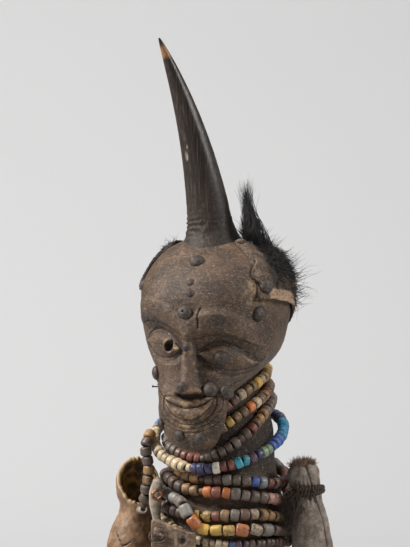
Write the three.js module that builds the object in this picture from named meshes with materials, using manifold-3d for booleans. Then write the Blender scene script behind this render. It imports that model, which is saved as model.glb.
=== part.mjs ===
// A carved wooden power figure, shown as a bust: a head with a horn in its crown, a fur-bearing hide nailed
// over the back of the skull, iron tacks, bead strands round the neck, a hollow gourd and a hide bundle.
// Millimetres, +Z up. The face looks along -Y, and the origin is the middle of the flat underside.
import * as THREE from 'three';
import { mergeVertices } from 'three/addons/utils/BufferGeometryUtils.js';
import Module from 'manifold-3d';

const wasm = await Module();
wasm.setup();

// The wooden figure keeps its pose and proportions as shares of its head height, from chin to crown.
const headHeight = 150;
const clearance = 0.3;

// The horn
const hornLength = 146;
const hornRadius = 17.3;
const hornSeatDepth = 9;
const hornLean = 28;
const hornReach = 32;

// The tacks and the nail
const largeTackRadius = 5.2;
const mediumTackRadius = 3.9;
const smallTackRadius = 2.8;
const nailRadius = 0.8;
const nailLength = 4;

// The hide and its fur
const hideThickness = 2;
const furDepth = 3.5;
const tuftRadius = 7;
const tuftHeight = 46;

// The beads
const beadRadius = 4.3;
const discRadius = 3.6;
const beadLength = 9;

// The gourd
const gourdHeight = 90;
const gourdLowerRadius = 17.5;
const gourdUpperRadius = 15.5;
const gourdWaistRadius = 11.5;
const gourdWall = 2.4;

// The bundle
const bundleHeight = 84;
const bundleTopRadius = 10.5;
const bundleBottomRadius = 14.5;
const bundleCordRadius = 1.8;
const bundleTuftHeight = 11;

// The small pendants
const bonePendantLength = 36;
const bonePendantBow = 5;
const bonePendantRadius = 5.2;
const ringRadius = 4.2;
const ringWireRadius = 1.1;
const blockWidth = 30;
const blockHeight = 44;
const blockThickness = 10;
const pegRadius = 3.2;
const pegLength = 9;

// Height of the chin above the flat underside
const chinHeight = 0.64 * headHeight;

// What hangs beside the chest leaves room for one strand of beads behind it. It ends a little above the
// underside and hangs a little before the middle of the chest.
const chestHalfWidth = 0.28 * headHeight;
const sideSlack = 2.5;
const strandRoom = 2 * (beadRadius + clearance) + sideSlack;
const hangingGap = 3;
const hangingAhead = 2;

const colours = {
  wood: 0x3d322a,
  horn: 0x1d1815,
  fur: 0x141210,
  iron: 0x2b2523,
  bead: 0x7a5a44,
  cream: 0xc9b99a,
  gourd: 0xb0895a,
  bone: 0xb9ac95,
  copper: 0xa9603c,
  hide: 0x5a4f45,
  fibre: 0x6b4a30,
  cord: 0x2f2520,
};

const figure = new THREE.Group();

const addPiece = (name, geometry, colour, roughness, metalness = 0) => {
  const material = new THREE.MeshStandardMaterial({ color: colour, roughness, metalness });
  const mesh = new THREE.Mesh(geometry, material);
  mesh.name = name;
  figure.add(mesh);
  return mesh;
};

// Smooth steps and profiles

const ease = (from, to, value) => THREE.MathUtils.smoothstep(value, from, to);
const clampUnit = (value) => THREE.MathUtils.clamp(value, 0, 1);

// A profile is rows of [position, size, size, ...], read with a smooth curve between the rows.
const readProfile = (rows, position) => {
  const last = rows.length - 1;
  const at = THREE.MathUtils.clamp(position, rows[0][0], rows[last][0]);
  let row = 0;
  while (row < last - 1 && at > rows[row + 1][0]) {
    row += 1;
  }
  const before = rows[Math.max(row - 1, 0)];
  const low = rows[row];
  const high = rows[row + 1];
  const after = rows[Math.min(row + 2, last)];
  const span = high[0] - low[0];
  const t = (at - low[0]) / span;
  return low.slice(1).map((value, index) => {
    const column = index + 1;
    const slopeLow = (high[column] - before[column]) / (high[0] - before[0]);
    const slopeHigh = (after[column] - low[column]) / (after[0] - low[0]);
    const square = t * t;
    const cube = square * t;
    return (2 * cube - 3 * square + 1) * value
      + (cube - 2 * square + t) * span * slopeLow
      + (3 * square - 2 * cube) * high[column]
      + (cube - square) * span * slopeHigh;
  });
};

// A point on a rounded section that is deeper before its middle than behind it: [across, ahead].
// The angle runs from the front, and a fullness over 1 squares the section's corners.
const sectionPoint = (angle, halfWidth, front, back, fullness) => {
  const bulge = (value) => Math.sign(value) * Math.abs(value) ** (1 / fullness);
  const depth = Math.cos(angle) > 0 ? front : back;
  return [halfWidth * bulge(Math.sin(angle)), depth * bulge(Math.cos(angle))];
};

// Closed solids from rings of points

// Each square between two rings is split along its shorter diagonal.
const ringTriangles = (rings, closed) => {
  const count = rings[0].length;
  const triangles = [];
  const steps = closed ? rings.length : rings.length - 1;
  for (let ring = 0; ring < steps; ring += 1) {
    const next = (ring + 1) % rings.length;
    for (let side = 0; side < count; side += 1) {
      const turn = (side + 1) % count;
      const a = ring * count + side;
      const b = ring * count + turn;
      const c = next * count + turn;
      const d = next * count + side;
      const rising = rings[ring][side].distanceTo(rings[next][turn]);
      const falling = rings[ring][turn].distanceTo(rings[next][side]);
      if (rising <= falling) {
        triangles.push(a, b, c, a, c, d);
      } else {
        triangles.push(a, b, d, b, c, d);
      }
    }
  }
  return triangles;
};

const geometryFrom = (points, triangles) => {
  const geometry = new THREE.BufferGeometry();
  const positions = points.flatMap((point) => [point.x, point.y, point.z]);
  geometry.setAttribute('position', new THREE.Float32BufferAttribute(positions, 3));
  geometry.setIndex(triangles);
  return geometry;
};

// Rings run anticlockwise seen from the end of the stack. The two ends are closed by fans.
const stackRings = (rings) => {
  const points = rings.flat();
  const triangles = ringTriangles(rings, false);
  const count = rings[0].length;
  const middle = (ring) => ring.reduce((sum, point) => sum.add(point), new THREE.Vector3())
    .divideScalar(count);
  const foot = points.push(middle(rings[0])) - 1;
  const head = points.push(middle(rings[rings.length - 1])) - 1;
  const lastRing = (rings.length - 1) * count;
  for (let side = 0; side < count; side += 1) {
    const turn = (side + 1) % count;
    triangles.push(foot, turn, side, head, lastRing + side, lastRing + turn);
  }
  return geometryFrom(points, triangles);
};

const loopRings = (rings) => geometryFrom(rings.flat(), ringTriangles(rings, true));

// Rings of a tube whose radius changes along a curve
const tubeRings = (curve, steps, sides, radiusAt, closed) => {
  const frames = curve.computeFrenetFrames(steps, closed);
  const rings = [];
  const count = closed ? steps : steps + 1;
  for (let step = 0; step < count; step += 1) {
    const share = step / steps;
    const middle = curve.getPointAt(share);
    const radius = radiusAt(share, step);
    const ring = [];
    for (let side = 0; side < sides; side += 1) {
      const angle = (2 * Math.PI * side) / sides;
      const spoke = frames.normals[step].clone().multiplyScalar(Math.cos(angle) * radius)
        .addScaledVector(frames.binormals[step], Math.sin(angle) * radius);
      ring.push(spoke.add(middle));
    }
    rings.push(ring);
  }
  return rings;
};

// Joins and cuts

const toSolid = (geometry) => {
  const plain = geometry.clone();
  plain.deleteAttribute('normal');
  plain.deleteAttribute('uv');
  const merged = mergeVertices(plain, 1e-4);
  return new wasm.Manifold(new wasm.Mesh({
    numProp: 3,
    vertProperties: new Float32Array(merged.attributes.position.array),
    triVerts: new Uint32Array(merged.index.array),
  }));
};

const fromSolid = (solid) => {
  const mesh = solid.getMesh();
  const geometry = new THREE.BufferGeometry();
  geometry.setAttribute('position', new THREE.BufferAttribute(new Float32Array(mesh.vertProperties), 3));
  geometry.setIndex(new THREE.BufferAttribute(new Uint32Array(mesh.triVerts), 1));
  return geometry;
};

// The carved head. Rows are shares of the head height: height above the chin, half width, how far the
// section's middle stands before the neck, depth before that middle, and depth behind it.
const headRows = [
  [0.000, 0.033, 0.387, 0.033, 0.040],
  [0.013, 0.067, 0.400, 0.060, 0.067],
  [0.040, 0.103, 0.420, 0.060, 0.087],
  [0.080, 0.130, 0.440, 0.050, 0.107],
  [0.127, 0.149, 0.447, 0.050, 0.120],
  [0.173, 0.162, 0.453, 0.047, 0.133],
  [0.240, 0.165, 0.440, 0.050, 0.147],
  [0.280, 0.179, 0.407, 0.077, 0.160],
  [0.320, 0.201, 0.327, 0.153, 0.200],
  [0.373, 0.229, 0.227, 0.253, 0.280],
  [0.427, 0.266, 0.173, 0.313, 0.360],
  [0.493, 0.301, 0.147, 0.350, 0.387],
  [0.593, 0.325, 0.133, 0.373, 0.395],
  [0.700, 0.339, 0.113, 0.393, 0.380],
  [0.773, 0.337, 0.113, 0.367, 0.360],
  [0.830, 0.313, 0.113, 0.327, 0.327],
  [0.891, 0.273, 0.120, 0.257, 0.280],
  [0.947, 0.207, 0.133, 0.180, 0.213],
  [0.987, 0.110, 0.153, 0.097, 0.113],
  [1.000, 0.040, 0.160, 0.035, 0.040],
];
const headFullness = 1.08;

// Carving of the face, all in shares of the head height. The eyes and brows slope down to one side.
const eyeSlope = 0.2;
const eye = { out: 0.15, up: 0.464, halfLength: 0.106, halfHeight: 0.056, rise: 0.036 };
const socket = { out: 0.155, up: 0.475, halfLength: 0.15, halfHeight: 0.105, depth: 0.036 };
const brow = { foot: 0.52, footArch: 0.06, top: 0.63, topArch: 0.06, span: 0.33, rise: 0.028 };
const nose = { bridge: 0.51, tip: 0.282, base: 0.262, rise: 0.09, bridgeRise: 0.022 };
const noseHalfWidths = { bridge: 0.03, middle: 0.05, wing: 0.076 };
const mouth = { up: 0.203, curl: 3.2, halfLength: 0.118, upperLip: 0.046, lowerLip: 0.052, rise: 0.027 };

const browFoot = (out) => brow.foot + brow.footArch * Math.sin(Math.PI * Math.min(out / brow.span, 1));
const browTop = (out) => brow.top + brow.topArch * Math.sin(Math.PI * Math.min(out / brow.span, 1));

const noseRelief = (across, up) => {
  const drop = clampUnit((nose.bridge - up) / (nose.bridge - nose.tip));
  const { bridge, middle, wing } = noseHalfWidths;
  const width = bridge + (middle - bridge) * drop + (wing - middle) * drop ** 6;
  const ridge = clampUnit(1 - (across / width) ** 2) ** 0.62;
  const rise = nose.bridgeRise + (nose.rise - nose.bridgeRise) * drop;
  const ends = ease(nose.base - 0.004, nose.tip, up) * (1 - ease(nose.bridge, brow.top, up));
  return rise * ridge * ends;
};

const eyeRelief = (out, up) => {
  const length = (out - eye.out) / eye.halfLength;
  const lid = eye.halfHeight * clampUnit(1 - length ** 2);
  const height = lid > 0 ? clampUnit(1 - ((up - eye.up) / lid) ** 2) : 0;
  return eye.rise * height ** 0.7;
};

const browRelief = (out, up) => {
  const band = ease(browFoot(out) - 0.012, browFoot(out) + 0.012, up)
    * (1 - ease(browTop(out) - 0.024, browTop(out) + 0.008, up));
  const share = clampUnit((up - browFoot(out)) / (browTop(out) - browFoot(out)));
  const swell = 0.8 + 0.2 * Math.sin(Math.PI * share);
  return brow.rise * band * swell * (1 - ease(0.8 * brow.span, brow.span, out));
};

const socketRelief = (out, up) => {
  const length = (out - socket.out) / socket.halfLength;
  const height = (up - socket.up) / socket.halfHeight;
  const inside = 1 - length ** 2 - height ** 2;
  const below = 1 - ease(browFoot(out) - 0.024, browFoot(out) + 0.004, up);
  return -socket.depth * ease(0, 0.8, inside) * below;
};

// Two full lips meet on a line that curls up at its ends.
const mouthRelief = (across, up) => {
  const above = up - mouth.up - mouth.curl * across ** 2;
  const corner = clampUnit(1 - (across / mouth.halfLength) ** 2);
  const thickness = (above > 0 ? mouth.upperLip : mouth.lowerLip) * Math.sqrt(corner);
  const share = thickness > 0 ? Math.abs(above) / thickness : 1;
  return mouth.rise * Math.sqrt(clampUnit(4 * share * (1 - share)));
};

const faceRelief = (across, up) => {
  const out = Math.abs(across);
  const level = up + eyeSlope * across;
  return noseRelief(across, up) + mouthRelief(across, up)
    + browRelief(out, level) + socketRelief(out, level) + eyeRelief(out, level);
};

const headPoint = (angle, up) => {
  const [halfWidth, forward, front, back] = readProfile(headRows, up);
  const [across, ahead] = sectionPoint(angle, halfWidth, front, back, headFullness);
  const carving = faceRelief(across, up) * ease(0, 0.25, Math.cos(angle));
  return new THREE.Vector3(across, -(forward + ahead + carving), up).multiplyScalar(headHeight)
    .add(new THREE.Vector3(0, 0, chinHeight));
};

// The carving needs closer rows over the mouth, nose and eyes: [from, to, steps].
const headBands = [
  [0.00, 0.04, 2],
  [0.04, 0.16, 3],
  [0.16, 0.25, 6],
  [0.25, 0.30, 2],
  [0.30, 0.38, 3],
  [0.38, 0.60, 10],
  [0.60, 0.88, 4],
  [0.88, 1.00, 4],
];
const headColumns = 36;

const bandHeights = (bands) => {
  const heights = bands.flatMap(([from, to, steps]) => (
    Array.from({ length: steps }, (_, step) => from + ((to - from) * step) / steps)
  ));
  return [...heights, bands[bands.length - 1][1]];
};

// Columns stand closer together over the face than behind.
const headAngle = (column) => {
  const turn = (2 * column) / headColumns - 1;
  return Math.PI * (0.55 * turn + 0.45 * turn ** 3);
};

const headSolid = (extra) => {
  const rings = bandHeights(headBands).map((up) => {
    const middle = new THREE.Vector3(0, -readProfile(headRows, up)[1], up).multiplyScalar(headHeight);
    middle.z += chinHeight;
    return Array.from({ length: headColumns }, (_, column) => {
      const point = headPoint(headAngle(column), up);
      const outward = point.clone().sub(middle).normalize();
      return point.addScaledVector(outward, extra);
    });
  });
  const last = rings.length - 1;
  rings[last].forEach((point) => { point.z += extra; });
  return toSolid(stackRings(rings));
};

// The neck and the upper chest. Rows are shares of the head height: height above the underside, half
// width, depth before the neck's middle and depth behind it.
const trunkRows = [
  [0.000, 0.272, 0.255, 0.255],
  [0.187, 0.280, 0.270, 0.262],
  [0.333, 0.280, 0.268, 0.255],
  [0.413, 0.266, 0.252, 0.245],
  [0.487, 0.247, 0.238, 0.235],
  [0.553, 0.234, 0.230, 0.227],
  [0.627, 0.224, 0.224, 0.224],
  [0.760, 0.216, 0.222, 0.218],
  [0.860, 0.186, 0.215, 0.200],
  [0.950, 0.164, 0.210, 0.190],
  [1.067, 0.152, 0.200, 0.180],
  [1.147, 0.140, 0.160, 0.150],
];
const trunkFullness = 1.15;
const trunkColumns = 22;

const trunkSolid = () => {
  const rings = trunkRows.map(([up, halfWidth, front, back]) => (
    Array.from({ length: trunkColumns }, (_, column) => {
      const angle = (2 * Math.PI * column) / trunkColumns - Math.PI;
      const [across, ahead] = sectionPoint(angle, halfWidth, front, back, trunkFullness);
      return new THREE.Vector3(across, -ahead, up).multiplyScalar(headHeight);
    })
  ));
  return toSolid(stackRings(rings));
};

// The horn stands in a socket in the crown and leans forward and to one side.
const crownTop = chinHeight + headHeight;
const hornBase = new THREE.Vector3(0, -0.17 * headHeight, crownTop - hornSeatDepth);
const hornTip = hornBase.clone().add(new THREE.Vector3(-hornLean, -hornReach, hornLength));
const hornBend = hornBase.clone()
  .add(new THREE.Vector3(-0.14 * hornLean, -0.24 * hornReach, 0.51 * hornLength));
const hornCurve = new THREE.QuadraticBezierCurve3(hornBase, hornBend, hornTip);
const hornSides = 13;
const hornSteps = 13;
const hornTipRadius = 0.5;
const hornTaper = 0.78;
const growthRise = 0.35;
const growthEnd = 0.3;
const hornFlare = 7;
const hornFlareEnd = 0.13;

const hornWidth = (share, step) => {
  const growthRing = share < growthEnd && step % 2 === 1 ? growthRise : 0;
  const flare = hornFlare * (1 - Math.min(share / hornFlareEnd, 1)) ** 2;
  return hornTipRadius + (hornRadius - hornTipRadius) * (1 - share) ** hornTaper + growthRing + flare;
};

const hornSolid = (extra) => {
  const widthAt = (share, step) => hornWidth(share, step) + extra;
  const rings = tubeRings(hornCurve, hornSteps, hornSides, widthAt, false);
  const heading = hornCurve.getTangentAt(0);
  rings[0].forEach((point) => point.addScaledVector(heading, -extra));
  return toSolid(stackRings(rings));
};

const bust = fromSolid(headSolid(0).add(trunkSolid()).subtract(hornSolid(clearance)));
const bustMesh = addPiece('figure_bust', bust, colours.wood, 0.62);
addPiece('crown_horn', fromSolid(hornSolid(0)), colours.horn, 0.32);

// The hide lies on the back of the skull. Its front edge runs down both sides behind the brows, and its
// lower edge is highest at the sides. The fur stands up from it, most of all beside and behind the horn.
const hideEdgeNear = THREE.MathUtils.degToRad(54);
const hideEdgeFar = THREE.MathUtils.degToRad(292);
const hideTop = 0.965;
const hideSideEdge = 0.705;
const hideNapeEdge = 0.5;
const hideFarLift = 0.045;
const hideNapeWidth = 3.5;
const hideColumns = 16;
const hideRows = 5;
const hideSink = 1.5;

const furAt = (across, up, level) => {
  const around = ease(0.02, 0.16, across) * (1 - 0.85 * ease(0.45, 0.8, across));
  const topEdge = 0.35 * (1 - ease(0.75, 0.98, across));
  const upward = 0.2 + 0.8 * ease(0.74, 0.95, level);
  return furDepth * around * upward * Math.max(1 - up ** 6, topEdge);
};

const hidePoint = (across, up, outside) => {
  const angle = hideEdgeNear + (hideEdgeFar - hideEdgeNear) * across;
  const drop = (hideSideEdge - hideNapeEdge) * Math.sin(Math.PI * across) ** hideNapeWidth;
  const foot = hideSideEdge - drop + hideFarLift * across ** 4;
  const level = foot + (hideTop - foot) * up;
  const nudge = 0.01;
  const point = headPoint(angle, level);
  const along = headPoint(angle + nudge, level).sub(point);
  const upward = headPoint(angle, level + nudge).sub(point);
  const outward = along.cross(upward).normalize();
  const lift = outside ? clearance + hideThickness + furAt(across, up, level) : -hideSink;
  return point.addScaledVector(outward, lift);
};

// A sheet between an inner and an outer grid of points, closed along its four edges
const sheetSolid = (columns, rows, pointAt) => {
  const rings = [];
  for (let column = 0; column <= columns; column += 1) {
    const across = column / columns;
    const inner = Array.from({ length: rows + 1 }, (_, row) => pointAt(across, row / rows, false));
    const outer = Array.from({ length: rows + 1 }, (_, row) => pointAt(across, 1 - row / rows, true));
    rings.push([...inner, ...outer]);
  }
  const count = rings[0].length;
  const points = rings.flat();
  const triangles = ringTriangles(rings, false);
  const lastRing = columns * count;
  for (let row = 0; row < rows; row += 1) {
    const mirror = count - 1 - row;
    triangles.push(row, mirror, mirror - 1, row, mirror - 1, row + 1);
    triangles.push(lastRing + row, lastRing + row + 1, lastRing + mirror - 1);
    triangles.push(lastRing + row, lastRing + mirror - 1, lastRing + mirror);
  }
  return toSolid(geometryFrom(points, triangles));
};

const tuftTipRadius = 0.4;
const tuftTaper = 1.1;
// The tuft's place on the hide, then its bend and its tip from its root: x and y in tuft radii, z in
// tuft heights.
const tuftPlace = [0.064, 0.93];
const tuftBend = [-0.6, 0.3, 0.55];
const tuftTip = [-0.5, 0.3, 1];
const tuftSolid = () => {
  const root = hidePoint(...tuftPlace, false).addScaledVector(new THREE.Vector3(0, 0, 1), hideThickness);
  const fromRoot = ([x, y, z]) => (
    root.clone().add(new THREE.Vector3(x * tuftRadius, y * tuftRadius, z * tuftHeight))
  );
  const curve = new THREE.QuadraticBezierCurve3(
    root,
    fromRoot(tuftBend),
    fromRoot(tuftTip),
  );
  const widthAt = (share) => tuftRadius * (1 - share) ** tuftTaper + tuftTipRadius;
  return toSolid(stackRings(tubeRings(curve, 5, 7, widthAt, false)));
};

// The hide's inner face follows the skull, a clearance away from it.
const hide = sheetSolid(hideColumns, hideRows, hidePoint).add(tuftSolid())
  .subtract(headSolid(2 * clearance)).subtract(hornSolid(clearance));
const hideMesh = addPiece('fur_scalp_hide', fromSolid(hide), colours.fur, 0.85);

// Tacks are seated on the carved surface where a straight line from outside meets it.
const rayFrom = (origin, direction, meshes) => {
  const hits = new THREE.Raycaster(origin, direction).intersectObjects(meshes, false);
  return hits.length > 0 ? hits[0] : null;
};

const farAway = 4 * headHeight;
const sides = {
  front: { heading: new THREE.Vector3(0, 1, 0), start: (shift) => new THREE.Vector3(shift, -farAway, 0) },
  near: { heading: new THREE.Vector3(-1, 0, 0), start: (shift) => new THREE.Vector3(farAway, -shift, 0) },
  far: { heading: new THREE.Vector3(1, 0, 0), start: (shift) => new THREE.Vector3(-farAway, -shift, 0) },
};

// The seat of a round piece: the middle of its flat foot and the way it faces. The foot stands a
// clearance off the highest point under it.
const findSeat = (side, shift, up, radius, meshes) => {
  const { heading, start } = sides[side];
  const origin = start(shift * headHeight).add(new THREE.Vector3(0, 0, chinHeight + up * headHeight));
  const centre = rayFrom(origin, heading, meshes);
  const ringRays = 10;
  const reach = (across, upward) => {
    const shifted = origin.clone().add(new THREE.Vector3(0, 0, upward));
    return shifted.add(new THREE.Vector3(heading.y * across, -heading.x * across, 0));
  };
  const facing = centre.face.normal.clone();
  for (let ray = 0; ray < ringRays; ray += 1) {
    const angle = (2 * Math.PI * ray) / ringRays;
    const hit = rayFrom(reach(radius * Math.cos(angle), radius * Math.sin(angle)), heading, meshes);
    facing.add(hit ? hit.face.normal : centre.face.normal);
  }
  facing.normalize();
  const across = new THREE.Vector3().crossVectors(facing, new THREE.Vector3(0, 0, 1)).normalize();
  const upward = new THREE.Vector3().crossVectors(across, facing);
  let highest = 0;
  for (const share of [0.35, 0.7, 1.05]) {
    for (let ray = 0; ray < 2 * ringRays; ray += 1) {
      const angle = (Math.PI * ray) / ringRays;
      const from = centre.point.clone().addScaledVector(facing, radius * 3)
        .addScaledVector(across, share * radius * Math.cos(angle))
        .addScaledVector(upward, share * radius * Math.sin(angle));
      const hit = rayFrom(from, facing.clone().negate(), meshes);
      if (hit) {
        highest = Math.max(highest, hit.point.sub(centre.point).dot(facing));
      }
    }
  }
  return { foot: centre.point.clone().addScaledVector(facing, highest + clearance), facing };
};

const placeOnSeat = (mesh, seat) => {
  mesh.position.copy(seat.foot);
  mesh.quaternion.setFromUnitVectors(new THREE.Vector3(0, 1, 0), seat.facing);
};

const domeShare = 0.62;
const domeGeometry = (radius) => {
  const profile = [[0, 0], [1, 0], [0.7, 0.46], [0, domeShare]];
  const points = profile.map(([out, up]) => new THREE.Vector2(out * radius, up * radius));
  return new THREE.LatheGeometry(points, 8);
};

// Each tack: the side it is driven in from, its shift across that side (forward of the neck, on the near
// and far sides), its height above the chin, both as shares of the head height, and its radius.
const tacks = {
  tack_crown: ['front', 0.0, 0.88, largeTackRadius],
  tack_forehead_upper: ['front', 0.0, 0.781, smallTackRadius],
  tack_forehead_lower: ['front', 0.006, 0.733, smallTackRadius],
  tack_brow_middle: ['front', -0.012, 0.643, largeTackRadius],
  tack_temple: ['front', 0.285, 0.638, largeTackRadius],
  tack_far_temple: ['far', 0.3, 0.77, mediumTackRadius],
  tack_nose_bridge: ['front', 0.0, 0.485, smallTackRadius],
  tack_eye: ['front', 0.142, 0.432, largeTackRadius],
  tack_nose_tip: ['front', -0.012, 0.3, mediumTackRadius],
  tack_cheek_inner: ['front', 0.098, 0.285, largeTackRadius],
  tack_cheek_outer: ['front', 0.168, 0.277, largeTackRadius],
  tack_far_cheek: ['far', 0.34, 0.362, largeTackRadius],
  tack_far_jaw: ['far', 0.455, 0.127, mediumTackRadius],
  tack_chin_far: ['front', -0.048, 0.075, mediumTackRadius],
  tack_chin_near: ['front', 0.05, 0.062, mediumTackRadius],
};

for (const [name, [side, shift, up, radius]] of Object.entries(tacks)) {
  const dome = addPiece(name, domeGeometry(radius), colours.iron, 0.45, 0.6);
  placeOnSeat(dome, findSeat(side, shift, up, radius, [bustMesh]));
}

const hideTack = addPiece('tack_hide_edge', domeGeometry(largeTackRadius), colours.iron, 0.45, 0.6);
placeOnSeat(hideTack, findSeat('near', 0.305, 0.764, largeTackRadius, [hideMesh, bustMesh]));

const nail = new THREE.CylinderGeometry(nailRadius, nailRadius, nailLength, 6);
nail.translate(0, nailLength / 2, 0);
const nailMesh = addPiece('cheek_nail', nail, colours.iron, 0.5, 0.6);
placeOnSeat(nailMesh, findSeat('far', 0.4, 0.3, nailRadius, [bustMesh]));

// The gourd is a hollow calabash with a waist. Rows are height as a share of its own, and its radius.
const gourdRows = [
  [0.03, 0.42 * gourdLowerRadius],
  [0.10, 0.76 * gourdLowerRadius],
  [0.20, 0.95 * gourdLowerRadius],
  [0.30, gourdLowerRadius],
  [0.42, 0.88 * gourdLowerRadius],
  [0.52, 0.5 * gourdWaistRadius + 0.37 * gourdLowerRadius],
  [0.60, gourdWaistRadius],
  [0.67, 0.4 * gourdWaistRadius + 0.6 * gourdUpperRadius],
  [0.78, gourdUpperRadius],
  [0.88, 0.86 * gourdUpperRadius],
  [0.95, 0.58 * gourdUpperRadius],
  [0.99, 0.24 * gourdUpperRadius],
];
const gourdSides = 12;
const gourdOut = chestHalfWidth + strandRoom + gourdLowerRadius;
const gourdFoot = new THREE.Vector3(-gourdOut, -hangingAhead, hangingGap);
const gourdLean = THREE.MathUtils.degToRad(5.5);
const gourdCutLean = THREE.MathUtils.degToRad(25);
const gourdCutTurn = THREE.MathUtils.degToRad(34);
const gourdTurn = new THREE.Quaternion().setFromAxisAngle(new THREE.Vector3(0, 1, 0), gourdLean);
const onGourdAxis = (share) => new THREE.Vector3(0, 0, share * gourdHeight)
  .applyQuaternion(gourdTurn).add(gourdFoot);

const standUp = (geometry) => geometry.rotateX(Math.PI / 2);

const gourdLeastHollow = 1;
const gourdShell = (wall) => {
  const points = gourdRows.filter(([, radius]) => radius > 1.5 * wall + gourdLeastHollow)
    .map(([share, radius]) => new THREE.Vector2(radius - wall, share * (gourdHeight - 2 * wall) + wall));
  const profile = [new THREE.Vector2(0, wall), ...points, new THREE.Vector2(0, gourdHeight - wall)];
  const shell = standUp(new THREE.LatheGeometry(profile, gourdSides));
  return toSolid(shell.applyQuaternion(gourdTurn).translate(gourdFoot.x, gourdFoot.y, gourdFoot.z));
};

// The upper bulb was sliced open: the cut starts at the waist and leans back as it rises.
const gourdCut = () => {
  const ahead = new THREE.Vector3(Math.sin(gourdCutTurn), -Math.cos(gourdCutTurn), 0);
  const start = onGourdAxis(0.6).addScaledVector(ahead, gourdWaistRadius);
  const facing = ahead.clone().multiplyScalar(Math.cos(gourdCutLean));
  facing.z = Math.sin(gourdCutLean);
  const size = 2 * gourdHeight;
  const box = new THREE.BoxGeometry(size, size, size).translate(0, 0, size / 2);
  const turn = new THREE.Quaternion().setFromUnitVectors(new THREE.Vector3(0, 0, 1), facing);
  return toSolid(box.applyQuaternion(turn).translate(start.x, start.y, start.z));
};

const gourdWhole = gourdShell(0);
const gourd = gourdWhole.subtract(gourdShell(gourdWall)).subtract(gourdCut());
addPiece('gourd', fromSolid(gourd), colours.gourd, 0.7);

// A rounded sack or stick: rows are height as a share of its length, and its radius.
const sackGeometry = (rows, length, columns, squash, folds) => {
  const rings = rows.map(([share, radius]) => (
    Array.from({ length: columns }, (_, column) => {
      const angle = (2 * Math.PI * column) / columns;
      const fold = 1 + folds * Math.cos(3 * angle + 2 * share);
      const across = radius * fold * Math.sin(angle);
      return new THREE.Vector3(across, -radius * fold * squash * Math.cos(angle), share * length);
    })
  ));
  return stackRings(rings);
};

// The hide bundle hangs at the near side and leans in at its top.
const bundleOut = chestHalfWidth + strandRoom + bundleBottomRadius;
const bundleFoot = new THREE.Vector3(bundleOut, -hangingAhead, hangingGap);
const bundleLean = THREE.MathUtils.degToRad(-7);
const bundleRows = [
  [0.00, 0.5 * bundleBottomRadius],
  [0.03, 0.82 * bundleBottomRadius],
  [0.10, 0.97 * bundleBottomRadius],
  [0.25, bundleBottomRadius],
  [0.50, 0.5 * bundleBottomRadius + 0.55 * bundleTopRadius],
  [0.68, 1.08 * bundleTopRadius],
  [0.78, 0.98 * bundleTopRadius],
  [0.90, 1.06 * bundleTopRadius],
  [0.97, 0.94 * bundleTopRadius],
  [1.00, 0.7 * bundleTopRadius],
];
const bundleTurn = new THREE.Quaternion().setFromAxisAngle(new THREE.Vector3(0, 1, 0), bundleLean);
const onBundle = (mesh, share, lift) => {
  mesh.quaternion.copy(bundleTurn);
  mesh.position.copy(new THREE.Vector3(0, 0, share * bundleHeight + lift).applyQuaternion(bundleTurn))
    .add(bundleFoot);
  return mesh;
};
const bundleSquash = 0.92;
const bundleSack = sackGeometry(bundleRows, bundleHeight, 14, bundleSquash, 0.03);
const bundleMesh = onBundle(addPiece('hide_bundle', bundleSack, colours.hide, 0.75), 0, 0);

const tuftRows = [
  [0.00, 0.6 * bundleTopRadius],
  [0.35, 0.78 * bundleTopRadius],
  [0.75, 0.86 * bundleTopRadius],
  [1.00, 0.5 * bundleTopRadius],
];
const bundleTuft = sackGeometry(tuftRows, bundleTuftHeight, 10, bundleSquash, 0.08);
onBundle(addPiece('bundle_fibre_tuft', bundleTuft, colours.fibre, 0.9), 1, clearance);

// The cord goes round the bundle's narrow place, at the level of the strand beside it. It is a little aslant
// and clear of the folds.
const cordHeight = 0.457 * headHeight;
const cordShare = (cordHeight - hangingGap) / bundleHeight;
const cordAslant = 1.2;
const cordKnots = 12;
const cordGeometry = () => {
  const [around] = readProfile(bundleRows, cordShare);
  const reach = around * 1.05 + bundleCordRadius + clearance;
  const knots = Array.from({ length: cordKnots }, (_, knot) => {
    const angle = (2 * Math.PI * knot) / cordKnots;
    return new THREE.Vector3(reach * Math.sin(angle), -reach * Math.cos(angle), cordAslant * Math.sin(angle));
  });
  const curve = new THREE.CatmullRomCurve3(knots, true);
  return loopRings(tubeRings(curve, 16, 5, () => bundleCordRadius, true));
};
const cordMesh = onBundle(addPiece('bundle_cord', cordGeometry(), colours.cord, 0.85), cordShare, 0);

// The small pendants hang over the strands at the far side of the chest, facing a little to the near side.
const chestAhead = headHeight * readProfile(trunkRows, 0.3)[1];
const strandSlack = 1.2;
const overStrands = chestAhead + 2 * (beadRadius + clearance) + strandSlack;
const pendantFacing = new THREE.Vector3(0.342, -0.94, 0).normalize();

const boneTurn = THREE.MathUtils.degToRad(-38);
const boneOut = overStrands + bonePendantRadius;
const boneMiddle = new THREE.Vector3(Math.sin(boneTurn), -Math.cos(boneTurn), 0).multiplyScalar(boneOut)
  .add(new THREE.Vector3(0, 0, 0.39 * headHeight));
const boneGeometry = () => {
  const half = bonePendantLength / 2;
  const curve = new THREE.QuadraticBezierCurve3(
    boneMiddle.clone().add(new THREE.Vector3(0.3 * bonePendantBow, 0, half)),
    boneMiddle.clone().add(new THREE.Vector3(-bonePendantBow, 0, 0)),
    boneMiddle.clone().add(new THREE.Vector3(0.6 * bonePendantBow, 0, -half)),
  );
  const swelling = (share) => 0.72 + 0.28 * Math.sin(Math.PI * Math.min(1.3 * share, 1));
  const widthAt = (share) => bonePendantRadius * swelling(share) * (1 - 0.35 * share);
  return stackRings(tubeRings(curve, 7, 8, widthAt, false));
};
const boneMesh = addPiece('bone_pendant', boneGeometry(), colours.bone, 0.6);

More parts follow.
